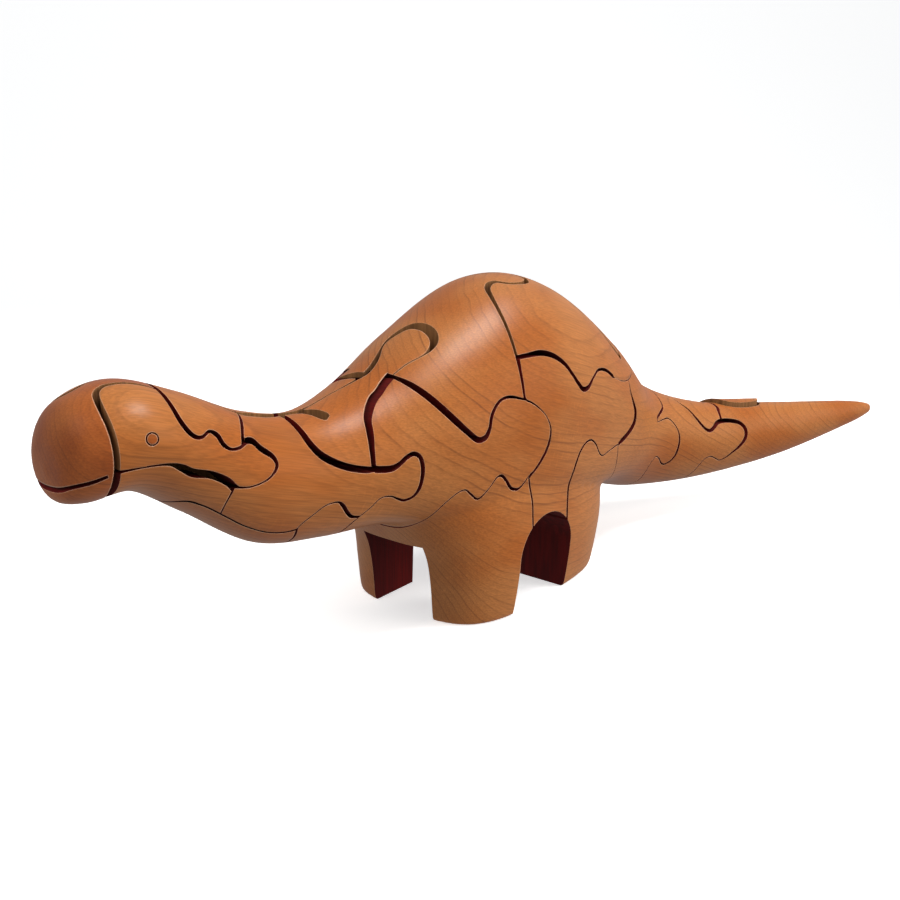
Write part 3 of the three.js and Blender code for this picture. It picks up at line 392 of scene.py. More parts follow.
class JigsawColours(bpy.types.PropertyGroup):
    """Colours of the wood and of the stage."""

    light: bpy.props.FloatVectorProperty(
        name="Light wood", description="Oiled cherry between its growth lines",
        default=(0.5, 0.18, 0.046), size=3, subtype="COLOR", min=0.0, max=1.0)
    warm: bpy.props.FloatVectorProperty(
        name="Warm wood", description="Redder patches of the oiled cherry",
        default=(0.42, 0.11, 0.014), size=3, subtype="COLOR", min=0.0, max=1.0)
    line: bpy.props.FloatVectorProperty(
        name="Growth line", description="Dark late wood of a growth line",
        default=(0.16, 0.045, 0.012), size=3, subtype="COLOR", min=0.0, max=1.0)
    # Painted shade: a dark maroon standing for the shadow in the kerfs, the leg gap and the belly arch, on
    # every face sawn from the side
    across: bpy.props.FloatVectorProperty(
        name="Shade on side cuts", description="Painted shade on faces left by cuts made from the side",
        default=(0.1, 0.002, 0.001), size=3, subtype="COLOR", min=0.0, max=1.0)
    down: bpy.props.FloatVectorProperty(
        name="Sawn from above", description="Faces left by cuts made from above",
        default=(0.24, 0.11, 0.04), size=3, subtype="COLOR", min=0.0, max=1.0)
    # Paler sanded wood with a painted highlight, laid along the eased arrises
    edge: bpy.props.FloatVectorProperty(
        name="Sanded edge and highlight", description="Paler sanded wood and painted highlight where the edges are eased",
        default=(0.85, 0.5, 0.32), size=3, subtype="COLOR", min=0.0, max=1.0)
    snout_light: bpy.props.FloatVectorProperty(
        name="Snout light wood", description="End grain of the muzzle between its dark patches",
        default=(0.46, 0.13, 0.025), size=3, subtype="COLOR", min=0.0, max=1.0)
    snout_warm: bpy.props.FloatVectorProperty(
        name="Snout dark wood", description="Dark patches of the muzzle's end grain",
        default=(0.26, 0.045, 0.004), size=3, subtype="COLOR", min=0.0, max=1.0)
    floor_glow: bpy.props.FloatProperty(
        name="Floor glow", description="How much light the white sweep gives by itself",
        default=0.6, min=0.0, max=1.0, subtype="FACTOR")
    floor: bpy.props.FloatVectorProperty(
        name="Floor", description="Pale floor and backdrop",
        default=(0.9, 0.9, 0.9), size=3, subtype="COLOR", min=0.0, max=1.0)


def sizes():
    """Sizes set in the panel."""
    return bpy.context.scene.jigsaw_sizes


def colours():
    """Colours set in the panel."""
    return bpy.context.scene.jigsaw_colours


def mesh_of(name, points, faces):
    """Closed mesh with its faces turned outward."""
    mesh = bpy.data.meshes.new(name)
    mesh.from_pydata([tuple(point) for point in points], [], faces)
    turned = bmesh.new()
    turned.from_mesh(mesh)
    bmesh.ops.recalc_face_normals(turned, faces=turned.faces)
    turned.to_mesh(mesh)
    turned.free()
    return mesh


def marked(mesh, mark):
    """Mesh whose faces carry the name of what leaves them: the carver's or one of the saw's."""
    mesh.materials.clear()
    mesh.materials.append(bpy.data.materials.get(mark) or bpy.data.materials.new(mark))
    return mesh


def shaped(mesh, add_modifiers):
    """New mesh that the modifiers make of this one."""
    scene = bpy.context.scene
    passing = bpy.data.objects.new("passing", mesh)
    scene.collection.objects.link(passing)
    add_modifiers(passing)
    depsgraph = bpy.context.evaluated_depsgraph_get()
    made = bpy.data.meshes.new_from_object(passing.evaluated_get(depsgraph), depsgraph=depsgraph)
    bpy.data.objects.remove(passing)
    return made


def combined(block, tool, operation):
    """Block with a tool joined to it, cut from it or met by it."""
    cutter = bpy.data.objects.new("cutter", tool)
    bpy.context.scene.collection.objects.link(cutter)

    def cut(passing):
        modifier = passing.modifiers.new("cut", "BOOLEAN")
        modifier.operation = operation
        modifier.solver = "MANIFOLD"
        modifier.material_mode = "TRANSFER"
        modifier.object = cutter

    made = shaped(block, cut)
    bpy.data.objects.remove(cutter)
    if not made.vertices:
        raise RuntimeError(f"nothing is left of {block.name} after {operation}")
    return made


def sanded(mesh, grain, rounds):
    """Mesh redrawn in even faces, with its edges eased."""

    def sand(passing):
        even = passing.modifiers.new("even", "REMESH")
        even.mode = "VOXEL"
        even.voxel_size = grain * 1
        even.use_smooth_shade = True
        ease = passing.modifiers.new("ease", "SMOOTH")
        ease.factor = SANDING
        ease.iterations = rounds

    return shaped(mesh, sand)


def smooth_rows(rows, steps):
    """A smooth run through rows of values, evenly stepped and straight at its ends."""
    rows = np.array(rows, dtype=float)
    last = len(rows) - 1
    made = []
    for step in range(steps + 1):
        place = step / steps * last
        here = min(int(place), last - 1)
        p = place - here
        starts, ends = here == 0, here + 2 > last
        before = rows[here + 1] if starts else rows[here - 1]
        after = rows[here] if ends else rows[here + 2]
        lead, trail = (-0.5 if starts else 0.5), (-0.5 if ends else 0.5)
        made.append(
            (-lead * p**3 + 2 * lead * p**2 - lead * p) * before
            + ((1 + lead) * p**3 + (-1.5 - 2 * lead) * p**2 + (-0.5 + lead) * p + 1) * rows[here]
            + ((-1 - trail) * p**3 + (1.5 + trail) * p**2 + 0.5 * p) * rows[here + 1]
            + (trail * p**3 - trail * p**2) * after)
    return made


def squared(value, squareness):
    """Cosine or sine flattened into a squarer round."""
    return math.copysign(abs(value) ** (2 / squareness), value)


def row_frame(point):
    """Point of the carving tables, in real sizes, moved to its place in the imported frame."""
    return (point[0] + START_ALONG, point[1] + MIDDLE_PLANE, point[2])


def body_ring(row):
    """Ring across the body at one place along it."""
    along, sideways, top, bottom, half_width, level, upper_squareness, lower_squareness = row
    middle = bottom + (top - bottom) * level
    ring = []
    for step in range(ROUND_STEPS):
        angle = 2 * math.pi * step / ROUND_STEPS
        upper = math.sin(angle) > 0
        squareness = upper_squareness if upper else lower_squareness
        reach = top - middle if upper else middle - bottom
        rise = reach * squared(math.sin(angle), squareness)
        out = sideways + half_width * squared(math.cos(angle), squareness)
        ring.append(row_frame((
            along * sizes().length, out * sizes().width, (middle + rise) * sizes().height)))
    return ring


def leg_ring(row):
    """Level ring round the four legs at one height."""
    height, front, rear, half_width, squareness = row
    ring = []
    for step in range(ROUND_STEPS):
        angle = 2 * math.pi * step / ROUND_STEPS
        along = (front + rear) / 2 + (rear - front) / 2 * squared(math.cos(angle), squareness)
        out = half_width * squared(math.sin(angle), squareness)
        ring.append(row_frame((
            along * sizes().length, out * sizes().width, height * sizes().height)))
    return ring


def skin_over_rings(name, rings):
    """Closed skin over rings that all have the same number of points."""
    around = len(rings[0])
    faces = []
    for start in range(0, (len(rings) - 1) * around, around):
        for side in range(around):
            here, following = start + side, start + (side + 1) % around
            faces.append((here, following, following + around, here + around))
    last = (len(rings) - 1) * around
    faces.append(tuple(reversed(range(around))))
    faces.append(tuple(range(last, last + around)))
    return mesh_of(name, [point for ring in rings for point in ring], faces)


def prism(outline, caps, near, far, mark=SIDE_SAW):
    """Solid between an outline's near and far copies. near and far place a flat point."""
    count = len(outline)
    points = [near(x, across) for x, across in outline] + [far(x, across) for x, across in outline]
    faces = [tuple(cap) for cap in caps]
    faces += [tuple(count + index for index in reversed(cap)) for cap in caps]
    for index in range(count):
        following = (index + 1) % count
        faces.append((index, following, following + count, index + count))
    return marked(mesh_of("tool", points, faces), mark)


def through_sideways(outline, caps):
    """Outline drawn in side view, run through the whole width of the animal."""
    reach = 2 * (sizes().width + sizes().overrun)
    return prism(
        outline, caps,
        lambda x, z: row_frame((x, -reach, z)),
        lambda x, z: row_frame((x, reach, z)))


def through_upright(outline, caps):
    """Outline drawn in plan, run through the whole height of the animal."""
    overrun = sizes().overrun
    return prism(
        outline, caps,
        lambda x, y: row_frame((x, y, -overrun)),
        lambda x, y: row_frame((x, y, sizes().height + overrun)), TOP_SAW)


def filled(outline):
    """Triangles that fill an outline."""
    return tessellate_polygon([[Vector((x, across, 0)) for x, across in outline]])


def leg_gap():
    """Space between the left and right legs."""
    front = LEG_GAP_FRONT_SHARE * sizes().length
    rear = LEG_GAP_REAR_SHARE * sizes().length
    half, high = sizes().leg_gap_width / 2, sizes().leg_gap_height
    outline = [(front, -half), (rear, -half), (rear, half), (front, half)]
    return prism(
        outline, [(0, 1, 2, 3)],
        lambda x, y: row_frame((x, y, -high)),
        lambda x, y: row_frame((x, y, high)))


def belly_arch():
    """Arch under the belly, between the front and rear legs."""
    length, height = sizes().length, sizes().height
    front, rear = ARCH_FRONT_SHARE * length, ARCH_REAR_SHARE * length
    spring = ARCH_SPRING_SHARE * height
    rise = ARCH_CROWN_SHARE * height - spring
    outline = [(ARCH_FRONT_FOOT_SHARE * length, -sizes().overrun), (rear, -sizes().overrun)]
    for step in range(ARCH_STEPS + 1):
        angle = math.pi * step / ARCH_STEPS
        along = (front + rear) / 2 + (rear - front) / 2 * math.cos(angle)
        outline.append((along, spring + rise * math.sin(angle)))
    return through_sideways(outline, filled(outline))


def saw_path(runs, across_size):
    """Saw line in real sizes: smooth runs that meet in corners, each point with its kerf."""
    path = []
    for run in runs:
        marks = np.array(run) * (sizes().length, across_size, sizes().kerf)
        points = [marks[0]]
        for place in range(len(marks) - 1):
            start, end = marks[place], marks[place + 1]
            before = marks[place - 1] if place else 2 * start - end
            after = marks[place + 2] if place + 2 < len(marks) else 2 * end - start
            first, span, last = (
                math.sqrt(np.linalg.norm(b - a)) for a, b in
                ((before, start), (start, end), (end, after)))
            leave = span * (
                (start - before) / first - (end - before) / (first + span) + (end - start) / span)
            arrive = span * (
                (end - start) / span - (after - start) / (span + last) + (after - end) / last)
            for step in range(1, SAW_STEPS + 1):
                t = step / SAW_STEPS
                points.append(
                    start + leave * t + (3 * (end - start) - 2 * leave - arrive) * t**2
                    + (2 * (start - end) + leave + arrive) * t**3)
        path += points[1:] if path else points
    return path


def unit(vector):
    size = np.linalg.norm(vector)
    return vector / size if size else vector


def kerf_tool(path, through):
    """The wood that the blade takes away along a saw line."""
    left, right = [], []
    for place, point in enumerate(path):
        before, after = path[max(place - 1, 0)], path[min(place + 1, len(path) - 1)]
        arriving, leaving = unit((point - before)[:2]), unit((after - point)[:2])
        heading = unit(arriving + leaving)
        square = np.array((-heading[1], heading[0]))
        is_end = place in (0, len(path) - 1)
        bend = 1 if is_end else max(float(heading @ leaving), BLUNTEST_TURN)
        reach = point[2] / 2 / bend
        left.append(tuple(point[:2] + square * reach))
        right.append(tuple(point[:2] - square * reach))
    count = len(path)
    outline = left + right[::-1]
    caps = [
        (place, place + 1, 2 * count - 2 - place, 2 * count - 1 - place)
        for place in range(count - 1)]
    return through(outline, caps)


def side_tool(path, toward, through):
    """Everything on one side of a saw line, closed far outside the block."""
    far = np.array(toward) * (sizes().length + sizes().height)
    outline = [tuple(point[:2]) for point in path]
    outline += [tuple(path[-1][:2] + far), tuple(path[0][:2] + far)]
    return through(outline, filled(outline))


def sawn_apart(block, path, toward, through):
    """A block sawn in two, the part toward the given side first."""
    opened = combined(block, kerf_tool(path, through), "DIFFERENCE")
    side = side_tool(path, toward, through)
    return combined(opened, side, "INTERSECT"), combined(opened, side, "DIFFERENCE")


def sawn_from_side(block, runs, toward):
    return sawn_apart(block, saw_path(runs, sizes().height), toward, through_sideways)


def sawn_from_above(block, runs, toward):
    return sawn_apart(block, saw_path(runs, sizes().width), toward, through_upright)


def keep_blank(mesh, name):
    """Keeps a block for the operator that saws it next."""
    old = bpy.data.meshes.get(name)
    if old:
        bpy.data.meshes.remove(old)
    mesh.name = name
    mesh.use_fake_user = True
    return mesh


def blank(name):
    mesh = bpy.data.meshes.get(name)
    if mesh is None:
        raise RuntimeError(f"the block {name!r} hasn't been made yet")
    return mesh


def show_cuts(mesh):
    """Stores what left each face as the attribute "cut", and keeps the edges of the cuts crisp."""
    values = [MARK_VALUES.get(mark.name, 0.0) for mark in mesh.materials]
    marks = np.empty(len(mesh.polygons), dtype=np.int32)
    mesh.polygons.foreach_get("material_index", marks)
    cut = np.array(values)[marks]
    mesh.attributes.new("cut", "FLOAT", "FACE").data.foreach_set("value", cut)
    mesh.materials.clear()
    mesh.shade_smooth()
    mesh.set_sharp_from_angle(angle=math.radians(CRISP_ANGLE))
    corners = np.empty(len(mesh.polygons), dtype=np.int32)
    mesh.polygons.foreach_get("loop_total", corners)
    edges = np.empty(len(mesh.loops), dtype=np.int32)
    mesh.loops.foreach_get("edge_index", edges)
    cut_corners = np.repeat(cut, corners)
    least, most = np.full(len(mesh.edges), np.inf), np.zeros(len(mesh.edges))
    np.minimum.at(least, edges, cut_corners)
    np.maximum.at(most, edges, cut_corners)
    sharp = np.empty(len(mesh.edges), dtype=bool)
    mesh.edges.foreach_get("use_edge_sharp", sharp)
    mesh.edges.foreach_set("use_edge_sharp", sharp | (most > least))


def finished(blank_mesh, node, slot="cherry", body=None, lift=0.0):
    """Piece that stands for its CAD node and moves with its body."""
    mesh = blank_mesh.copy()
    show_cuts(mesh)
    mesh.transform(Matrix.Translation((0, 0, lift)))
    mesh.materials.append(wood_material(slot))
    mesh.name = f"{node} wood"
    piece = bpy.data.objects.new(f"{node}_wood", mesh)
    bpy.context.scene.collection.objects.link(piece)
    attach(piece, body or node)
    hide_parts(node)
    return piece

# Grain of the block in its own frame: along the fibres, outward across the growth rings, and the
# distance in metres from the middle of the tree to the middle of the block
FIBRE = Vector((0.955, -0.0735, -0.2865)).normalized()
RING_OUT = Vector((0.1, -0.8, 0.58))
RING_OUT = (RING_OUT - FIBRE * RING_OUT.dot(FIBRE)).normalized()
RING_ALONG = FIBRE.cross(RING_OUT)
TREE_DISTANCE = 0.3

# Grain of each noise in the wood, in metres along the fibres, outward and across
WANDER_GRAIN = (0.11, 0.045, 0.045)
WAVER_GRAIN = (0.02, 0.009, 0.009)
FADING_GRAIN = (0.05, 0.012, 0.012)
FIBRE_GRAIN = (0.012, 0.0004, 0.0004)
FLECK_GRAIN = (0.0011, 0.006, 0.0022)
PATCH_GRAIN = (0.07, 0.03, 0.03)

# Growth lines: how many rings they wander and waver by, the parts of a ring where its dark line
# starts and is darkest, how unlike the lines are, and the least share of its darkness that each
# keeps by chance and where it fades
WANDER_RINGS = 4.0
WAVER_RINGS = 0.7
LINE_START = 0.7
LINE_DARKEST = 0.93
LINE_UNLIKENESS = 2.2
FAINTEST_LINE = 0.18
FADED_LINE = 0.3

# Shades: of dark and light fibres, and what flecks, late growth and end grain add to them
FIBRE_SHADES = (0.84, 1.12)
FLECK_SHADE = 0.1
GROWN_SHADE = -0.06
END_GRAIN_SHADE = -0.22
FLECK_AREAS_PER_METRE = 22.0

# Saw marks: streaks per metre along each axis, and their dark and light shades
BLADE_STREAKS = (1700.0, 500.0, 60.0)
STREAK_SHADES = (0.75, 1.25)

# Finish: how far an eased arris turns paler, as sanded wood and painted highlight, roughness of oiled wood
# and what a bare sawn face, end grain and growth lines add, how much oiled wood mirrors, and the relief of
# its pores in metres
ARRIS_PALENESS_AND_HIGHLIGHT = 0.75
ARRIS_SAMPLES = 6
OILED_ROUGHNESS = 0.36
SAWN_ROUGHNESS = 0.5
GRAIN_ROUGHNESS = 0.06
MIRROR_LEVEL = 0.35
PORE_DEPTH = 0.0002
PORE_STRENGTH = 0.12


def add(tree, kind, inputs=None, **settings):
    """Adds a node, its settings and its inputs, which are values or sockets to link from."""
    node = tree.nodes.new(kind)
    for key, value in settings.items():
        setattr(node, key, value)
    for key, value in (inputs or {}).items():
        if isinstance(value, bpy.types.NodeSocket):
            tree.links.new(value, node.inputs[key])
        else:
            node.inputs[key].default_value = value
    return node


def reckon(tree, operation, *values):
    """Value that a Math node makes of its inputs."""
    return add(tree, "ShaderNodeMath", dict(enumerate(values)), operation=operation).outputs[0]


def times(tree, first, second):
    return reckon(tree, "MULTIPLY", first, second)


def times_plus(tree, first, second, added):
    return reckon(tree, "MULTIPLY_ADD", first, second, added)


def dot(tree, first, second):
    """Distance of a place along an axis, or how alike two directions are."""
    return add(
        tree, "ShaderNodeVectorMath", {0: first, 1: second},
        operation="DOT_PRODUCT").outputs["Value"]


def ramp(tree, value, low, high, bottom=0.0, top=1.0):
    """Value eased from bottom to top as it runs from low to high."""
    inputs = {
        "Value": value, "From Min": low, "From Max": high, "To Min": bottom, "To Max": top}
    return add(
        tree, "ShaderNodeMapRange", inputs, interpolation_type="SMOOTHSTEP").outputs["Result"]


def mixed(tree, factor, first, second):
    """Colour mixed from two by a factor, through the Mix node's colour sockets."""
    inputs = {0: factor, 6: first, 7: second}
    return add(tree, "ShaderNodeMix", inputs, data_type="RGBA").outputs[2]


def scaled(tree, colour, shade):
    """Colour made darker or lighter."""
    return add(
        tree, "ShaderNodeVectorMath", {0: colour, "Scale": shade}, operation="SCALE").outputs[0]


def noise(tree, vector, scale=1.0, detail=1.0):
    inputs = {"Vector": vector, "Scale": scale, "Detail": detail}
    return add(tree, "ShaderNodeTexNoise", inputs).outputs["Fac"]


def grain_noise(tree, grain, grain_sizes, detail=1.0):
    """Noise stretched along the fibres, to sizes in metres."""
    parts = {
        axis: reckon(tree, "DIVIDE", value, size)
        for axis, value, size in zip("XYZ", grain, grain_sizes)}
    return noise(tree, add(tree, "ShaderNodeCombineXYZ", parts).outputs[0], detail=detail)


def growth_lines(tree, grain, given):
    """Dark lines of the growth rings round the middle of the tree, and how far a ring has grown."""
    reach = reckon(tree, "ADD", grain[1], TREE_DISTANCE)
    square = reckon(
        tree, "ADD", reckon(tree, "POWER", reach, 2.0), reckon(tree, "POWER", grain[2], 2.0))
    turns = reckon(tree, "DIVIDE", reckon(tree, "SQRT", square), given["Ring spacing"])
    for grain_sizes, rings in ((WANDER_GRAIN, WANDER_RINGS), (WAVER_GRAIN, WAVER_RINGS)):
        turns = times_plus(tree, grain_noise(tree, grain, grain_sizes), rings, turns)
    within = reckon(tree, "FRACT", turns)
    lines = times(
        tree, ramp(tree, within, LINE_START, LINE_DARKEST),
        ramp(tree, within, LINE_DARKEST, 1.0, 1.0, 0.0))
    chance = add(
        tree, "ShaderNodeTexWhiteNoise", {"W": reckon(tree, "FLOOR", turns)},
        noise_dimensions="1D").outputs["Value"]
    chance = reckon(tree, "POWER", chance, LINE_UNLIKENESS)
    fading = ramp(tree, grain_noise(tree, grain, FADING_GRAIN), 0.35, 0.6)
    for part, least in ((chance, FAINTEST_LINE), (fading, FADED_LINE)):
        lines = times(tree, lines, times_plus(tree, part, 1 - least, least))
    return times(tree, lines, given["Line strength"]), ramp(tree, within, 0.0, 0.95)


def sanded_colour(tree, grain, place, given):
    """Colour of the carved and sanded faces, with what the finish needs: lines, end and fibres."""
    lines, grown = growth_lines(tree, grain, given)
    fibres = grain_noise(tree, grain, FIBRE_GRAIN, 2.0)
    fleck_areas = ramp(tree, noise(tree, place["Object"], FLECK_AREAS_PER_METRE), 0.48, 0.62)
    flecks = times(tree, ramp(tree, grain_noise(tree, grain, FLECK_GRAIN), 0.56, 0.68), fleck_areas)
    patches = ramp(tree, grain_noise(tree, grain, PATCH_GRAIN, 3.0), 0.35, 0.68)
    end = ramp(tree, reckon(tree, "ABSOLUTE", dot(tree, place["Normal"], FIBRE)), 0.55, 0.98)
    colour = mixed(tree, times(tree, patches, given["Mottle"]), given["Light"], given["Warm"])
    colour = mixed(tree, lines, colour, given["Line"])
    shade = ramp(tree, fibres, 0.25, 0.75, *FIBRE_SHADES)
    shade = times_plus(tree, flecks, FLECK_SHADE, shade)
    shade = times_plus(tree, grown, GROWN_SHADE, shade)
    shade = times(tree, shade, times_plus(tree, end, END_GRAIN_SHADE, 1.0))
    return scaled(tree, colour, shade), lines, end, fibres


def sawn_wood_and_shade(tree, place, from_above, given):
    """Faces that the saw left, streaked along the blade: a dark maroon painted shade on those sawn from the
    side, bare dark wood on those sawn from above.
    """
    colour = mixed(tree, from_above, given["Side cut shade"], given["Down"])
    blade = add(
        tree, "ShaderNodeVectorMath", {0: place["Object"], 1: BLADE_STREAKS},
        operation="MULTIPLY").outputs[0]
    return scaled(tree, colour, ramp(tree, noise(tree, blade, detail=2.0), 0.3, 0.7, *STREAK_SHADES))


def cherry_group():
    """Node group that draws cherry: growth lines, fibres, flecks, end grain and sawn faces, with a painted
    shade on faces sawn from the side and a painted highlight on the eased arrises.
    """
    name = "Cherry figure"
    if name in bpy.data.node_groups:
        return bpy.data.node_groups[name]
    tree = bpy.data.node_groups.new(name, "ShaderNodeTree")
    for side, kind, labels in (
            ("INPUT", "NodeSocketColor", ("Light", "Warm", "Line", "Side cut shade", "Down", "Arris colour and highlight")),
            ("INPUT", "NodeSocketFloat", ("Line strength", "Mottle", "Ring spacing", "Arris")),
            ("OUTPUT", "NodeSocketColor", ("Color",)),
            ("OUTPUT", "NodeSocketFloat", ("Roughness", "Height")),
            ("OUTPUT", "NodeSocketVector", ("Normal",))):
        for label in labels:
            tree.interface.new_socket(label, in_out=side, socket_type=kind)
    given = add(tree, "NodeGroupInput").outputs
    place = add(tree, "ShaderNodeTexCoord").outputs
    grain = [dot(tree, place["Object"], axis) for axis in (FIBRE, RING_OUT, RING_ALONG)]
    colour, lines, end, fibres = sanded_colour(tree, grain, place, given)

    cut = add(tree, "ShaderNodeAttribute", attribute_name="cut").outputs["Fac"]
    sawn = reckon(tree, "GREATER_THAN", cut, MARK_VALUES[SIDE_SAW] / 2)
    from_above = reckon(tree, "GREATER_THAN", cut, (MARK_VALUES[SIDE_SAW] + MARK_VALUES[TOP_SAW]) / 2)
    # Faces sawn from the side get their dark maroon painted shade here; faces sawn from above get bare,
    # streaked wood
    colour = mixed(tree, sawn, colour, sawn_wood_and_shade(tree, place, from_above, given))

    # Arrises along the cuts, eased with sandpaper: paler sanded wood with a painted highlight
    rounded = add(
        tree, "ShaderNodeBevel", {"Radius": given["Arris"]}, samples=ARRIS_SAMPLES).outputs[0]
    turned = ramp(tree, dot(tree, rounded, place["Normal"]), 0.9, 0.99, 1.0, 0.0)
    eased_edge_and_highlight = times(tree, turned, reckon(tree, "SUBTRACT", 1.0, sawn))
    # Pale arris colour: partly paler sanded wood, partly painted highlight
    colour = mixed(tree, times(tree, eased_edge_and_highlight, ARRIS_PALENESS_AND_HIGHLIGHT), colour, given["Arris colour and highlight"])

    rough = times_plus(tree, sawn, SAWN_ROUGHNESS, OILED_ROUGHNESS)
    for part in (end, lines):
        rough = times_plus(tree, part, GRAIN_ROUGHNESS, rough)
    add(tree, "NodeGroupOutput", {
        "Color": colour, "Roughness": rough, "Height": times_plus(tree, lines, -0.5, fibres),
        "Normal": rounded})
    return tree


# Material of each slot: its light and warm colours, how strong its lines and patches are, and
# the distance in metres between its growth rings
WOODS = {
    "cherry": ("light", "warm", 0.6, 0.9, 0.0022),
    "cherry_snout": ("snout_light", "snout_warm", 0.4, 1.0, 0.0016),
    "eye_peg": ("warm", "snout_warm", 0.5, 0.9, 0.0012),
}


def wood_material(slot):
    """Oiled and sanded cherry for one of the record's material slots."""
    name = f"oiled {slot}"
    if name in bpy.data.materials:
        return bpy.data.materials[name]
    light, warm, strength, mottle, spacing = WOODS[slot]
    material = bpy.data.materials.new(name)
    material.use_nodes = True
    tree = material.node_tree
    tree.nodes.clear()
    values = {
        "Line strength": strength, "Mottle": mottle, "Ring spacing": spacing, "Arris": sizes().arris}
    for label, colour in (
            ("Light", light), ("Warm", warm), ("Line", "line"), ("Side cut shade", "across"),
            ("Down", "down"), ("Arris colour and highlight", "edge")):
        values[label] = (*getattr(colours(), colour), 1)
    figure = add(tree, "ShaderNodeGroup", node_tree=cherry_group())
    for label, value in values.items():
        figure.inputs[label].default_value = value
    bump = add(tree, "ShaderNodeBump", {
        "Height": figure.outputs["Height"], "Normal": figure.outputs["Normal"],
        "Strength": PORE_STRENGTH, "Distance": PORE_DEPTH})
    wood = add(tree, "ShaderNodeBsdfPrincipled", {
        "Base Color": figure.outputs["Color"], "Roughness": figure.outputs["Roughness"],
        "Normal": bump.outputs["Normal"], "Specular IOR Level": MIRROR_LEVEL})
    add(tree, "ShaderNodeOutputMaterial", {"Surface": wood.outputs[0]})
    return material


# Where the legs run into the belly, as shares of the height and length where the sanding starts, is
# full, wanes and ends, and the levels that it is counted in
CROTCH_HEIGHT_SHARES = (0.12, 0.24, 0.46, 0.6)
CROTCH_ALONG_SHARES = (-0.1, -0.05, 0.27, 0.32)
CROTCH_LEVELS = 10


def eased(value, low, high):
    """Eases from 0 at low to 1 at high."""
    t = np.clip((value - low) / (high - low), 0, 1)
    return t * t * (3 - 2 * t)


def eased_crotches(mesh):
    """Mesh with the creases between the leg block and the belly sanded into hollows."""
    corners = np.empty(len(mesh.vertices) * 3)
    mesh.vertices.foreach_get("co", corners)
    corners = corners.reshape(-1, 3)
    up = corners[:, 2] / sizes().height
    along = (corners[:, 0] - START_ALONG) / sizes().length
    weight = np.ones(len(corners))
    for value, (start, full, waning, end) in (
            (up, CROTCH_HEIGHT_SHARES), (along, CROTCH_ALONG_SHARES)):
        weight *= eased(value, start, full) * (1 - eased(value, waning, end))
    levels = np.rint(weight * CROTCH_LEVELS).astype(int)

    def ease(passing):
        group = passing.vertex_groups.new(name="crotch")
        for level in range(1, CROTCH_LEVELS + 1):
            group.add(np.flatnonzero(levels == level).tolist(), level / CROTCH_LEVELS, "REPLACE")
        modifier = passing.modifiers.new("hollow", "SMOOTH")
        modifier.factor = SANDING
        modifier.iterations = sizes().crotch_rounds
        modifier.vertex_group = group.name

    return shaped(mesh, ease)


class CarveBlock(bpy.types.Operator):
    """Carve the whole animal from one block, with its leg gap and belly arch"""

    bl_idname = "jigsaw.carve_block"
    bl_label = "Carve block"

    def execute(self, context):
        body = skin_over_rings("body", [body_ring(row) for row in smooth_rows(BODY_SHARES, BODY_STEPS)])
        legs = skin_over_rings("legs", [leg_ring(row) for row in smooth_rows(LEG_SHARES, LEG_STEPS)])
        animal = sanded(combined(body, legs, "UNION"), sizes().blank_grain, BLANK_ROUNDS)
        animal = marked(eased_crotches(animal), CARVER)
        animal = combined(animal, leg_gap(), "DIFFERENCE")
        keep_blank(combined(animal, belly_arch(), "DIFFERENCE"), "carved animal")
        return {"FINISHED"}


class SawHead(bpy.types.Operator):
    """Saw the head off and into throat, jaw, nape halves, muzzle and cheek blanks"""

    bl_idname = "jigsaw.saw_head"
    bl_label = "Saw head"

    def execute(self, context):
        throat, above = sawn_from_side(blank("carved animal"), THROAT_LINE_SHARES, DOWNWARD)
        head, headless = sawn_from_side(above, COLLAR_LINE_SHARES, TOWARD_HEAD)
        keep_blank(headless, "headless block")
        jaw, top = sawn_from_side(head, JAW_LINE_SHARES, DOWNWARD)
        nape, face = sawn_from_side(top, NAPE_LINE_SHARES, TOWARD_TAIL)
        nape_right, nape_left = sawn_from_above(nape, NAPE_RIDGE_LINE_SHARES, TOWARD_RIGHT)
        cheek_left, rest = sawn_from_above(face, LEFT_CHEEK_LINE_SHARES, TOWARD_LEFT)
        cheek_right, muzzle = sawn_from_above(rest, RIGHT_CHEEK_LINE_SHARES, TOWARD_RIGHT)
        opening = kerf_tool(saw_path(JAW_OPENING_LINE_SHARES, sizes().height), through_sideways)
        keep_blank(combined(cheek_left, opening, "DIFFERENCE"), "left cheek block")
        keep_blank(combined(cheek_right, opening, "DIFFERENCE"), "right cheek block")
        mouth = kerf_tool(saw_path(MOUTH_LINE_SHARES, sizes().height), through_sideways)
        finished(combined(muzzle, mouth, "DIFFERENCE"), "muzzle", slot="cherry_snout")
        for piece, node in (
                (throat, "throat"), (jaw, "jaw"), (nape_left, "nape_left"),
                (nape_right, "nape_right")):
            finished(piece, node)
        return {"FINISHED"}


def eye_peg(side, radius, depth):
    """Round peg across the head, from a given depth under the cheek outward."""
    inner = EYE_OUT_SHARE * sizes().width - depth
    outer = inner + depth + sizes().overrun
    along, up = EYE_ALONG_SHARE * sizes().length, EYE_UP_SHARE * sizes().height
    outline = [
        (along + radius * math.cos(2 * math.pi * step / EYE_SIDES),
         up + radius * math.sin(2 * math.pi * step / EYE_SIDES)) for step in range(EYE_SIDES)]
    return prism(
        outline, [tuple(range(EYE_SIDES))],
        lambda x, z: row_frame((x, side * inner, z)),
        lambda x, z: row_frame((x, side * outer, z)))


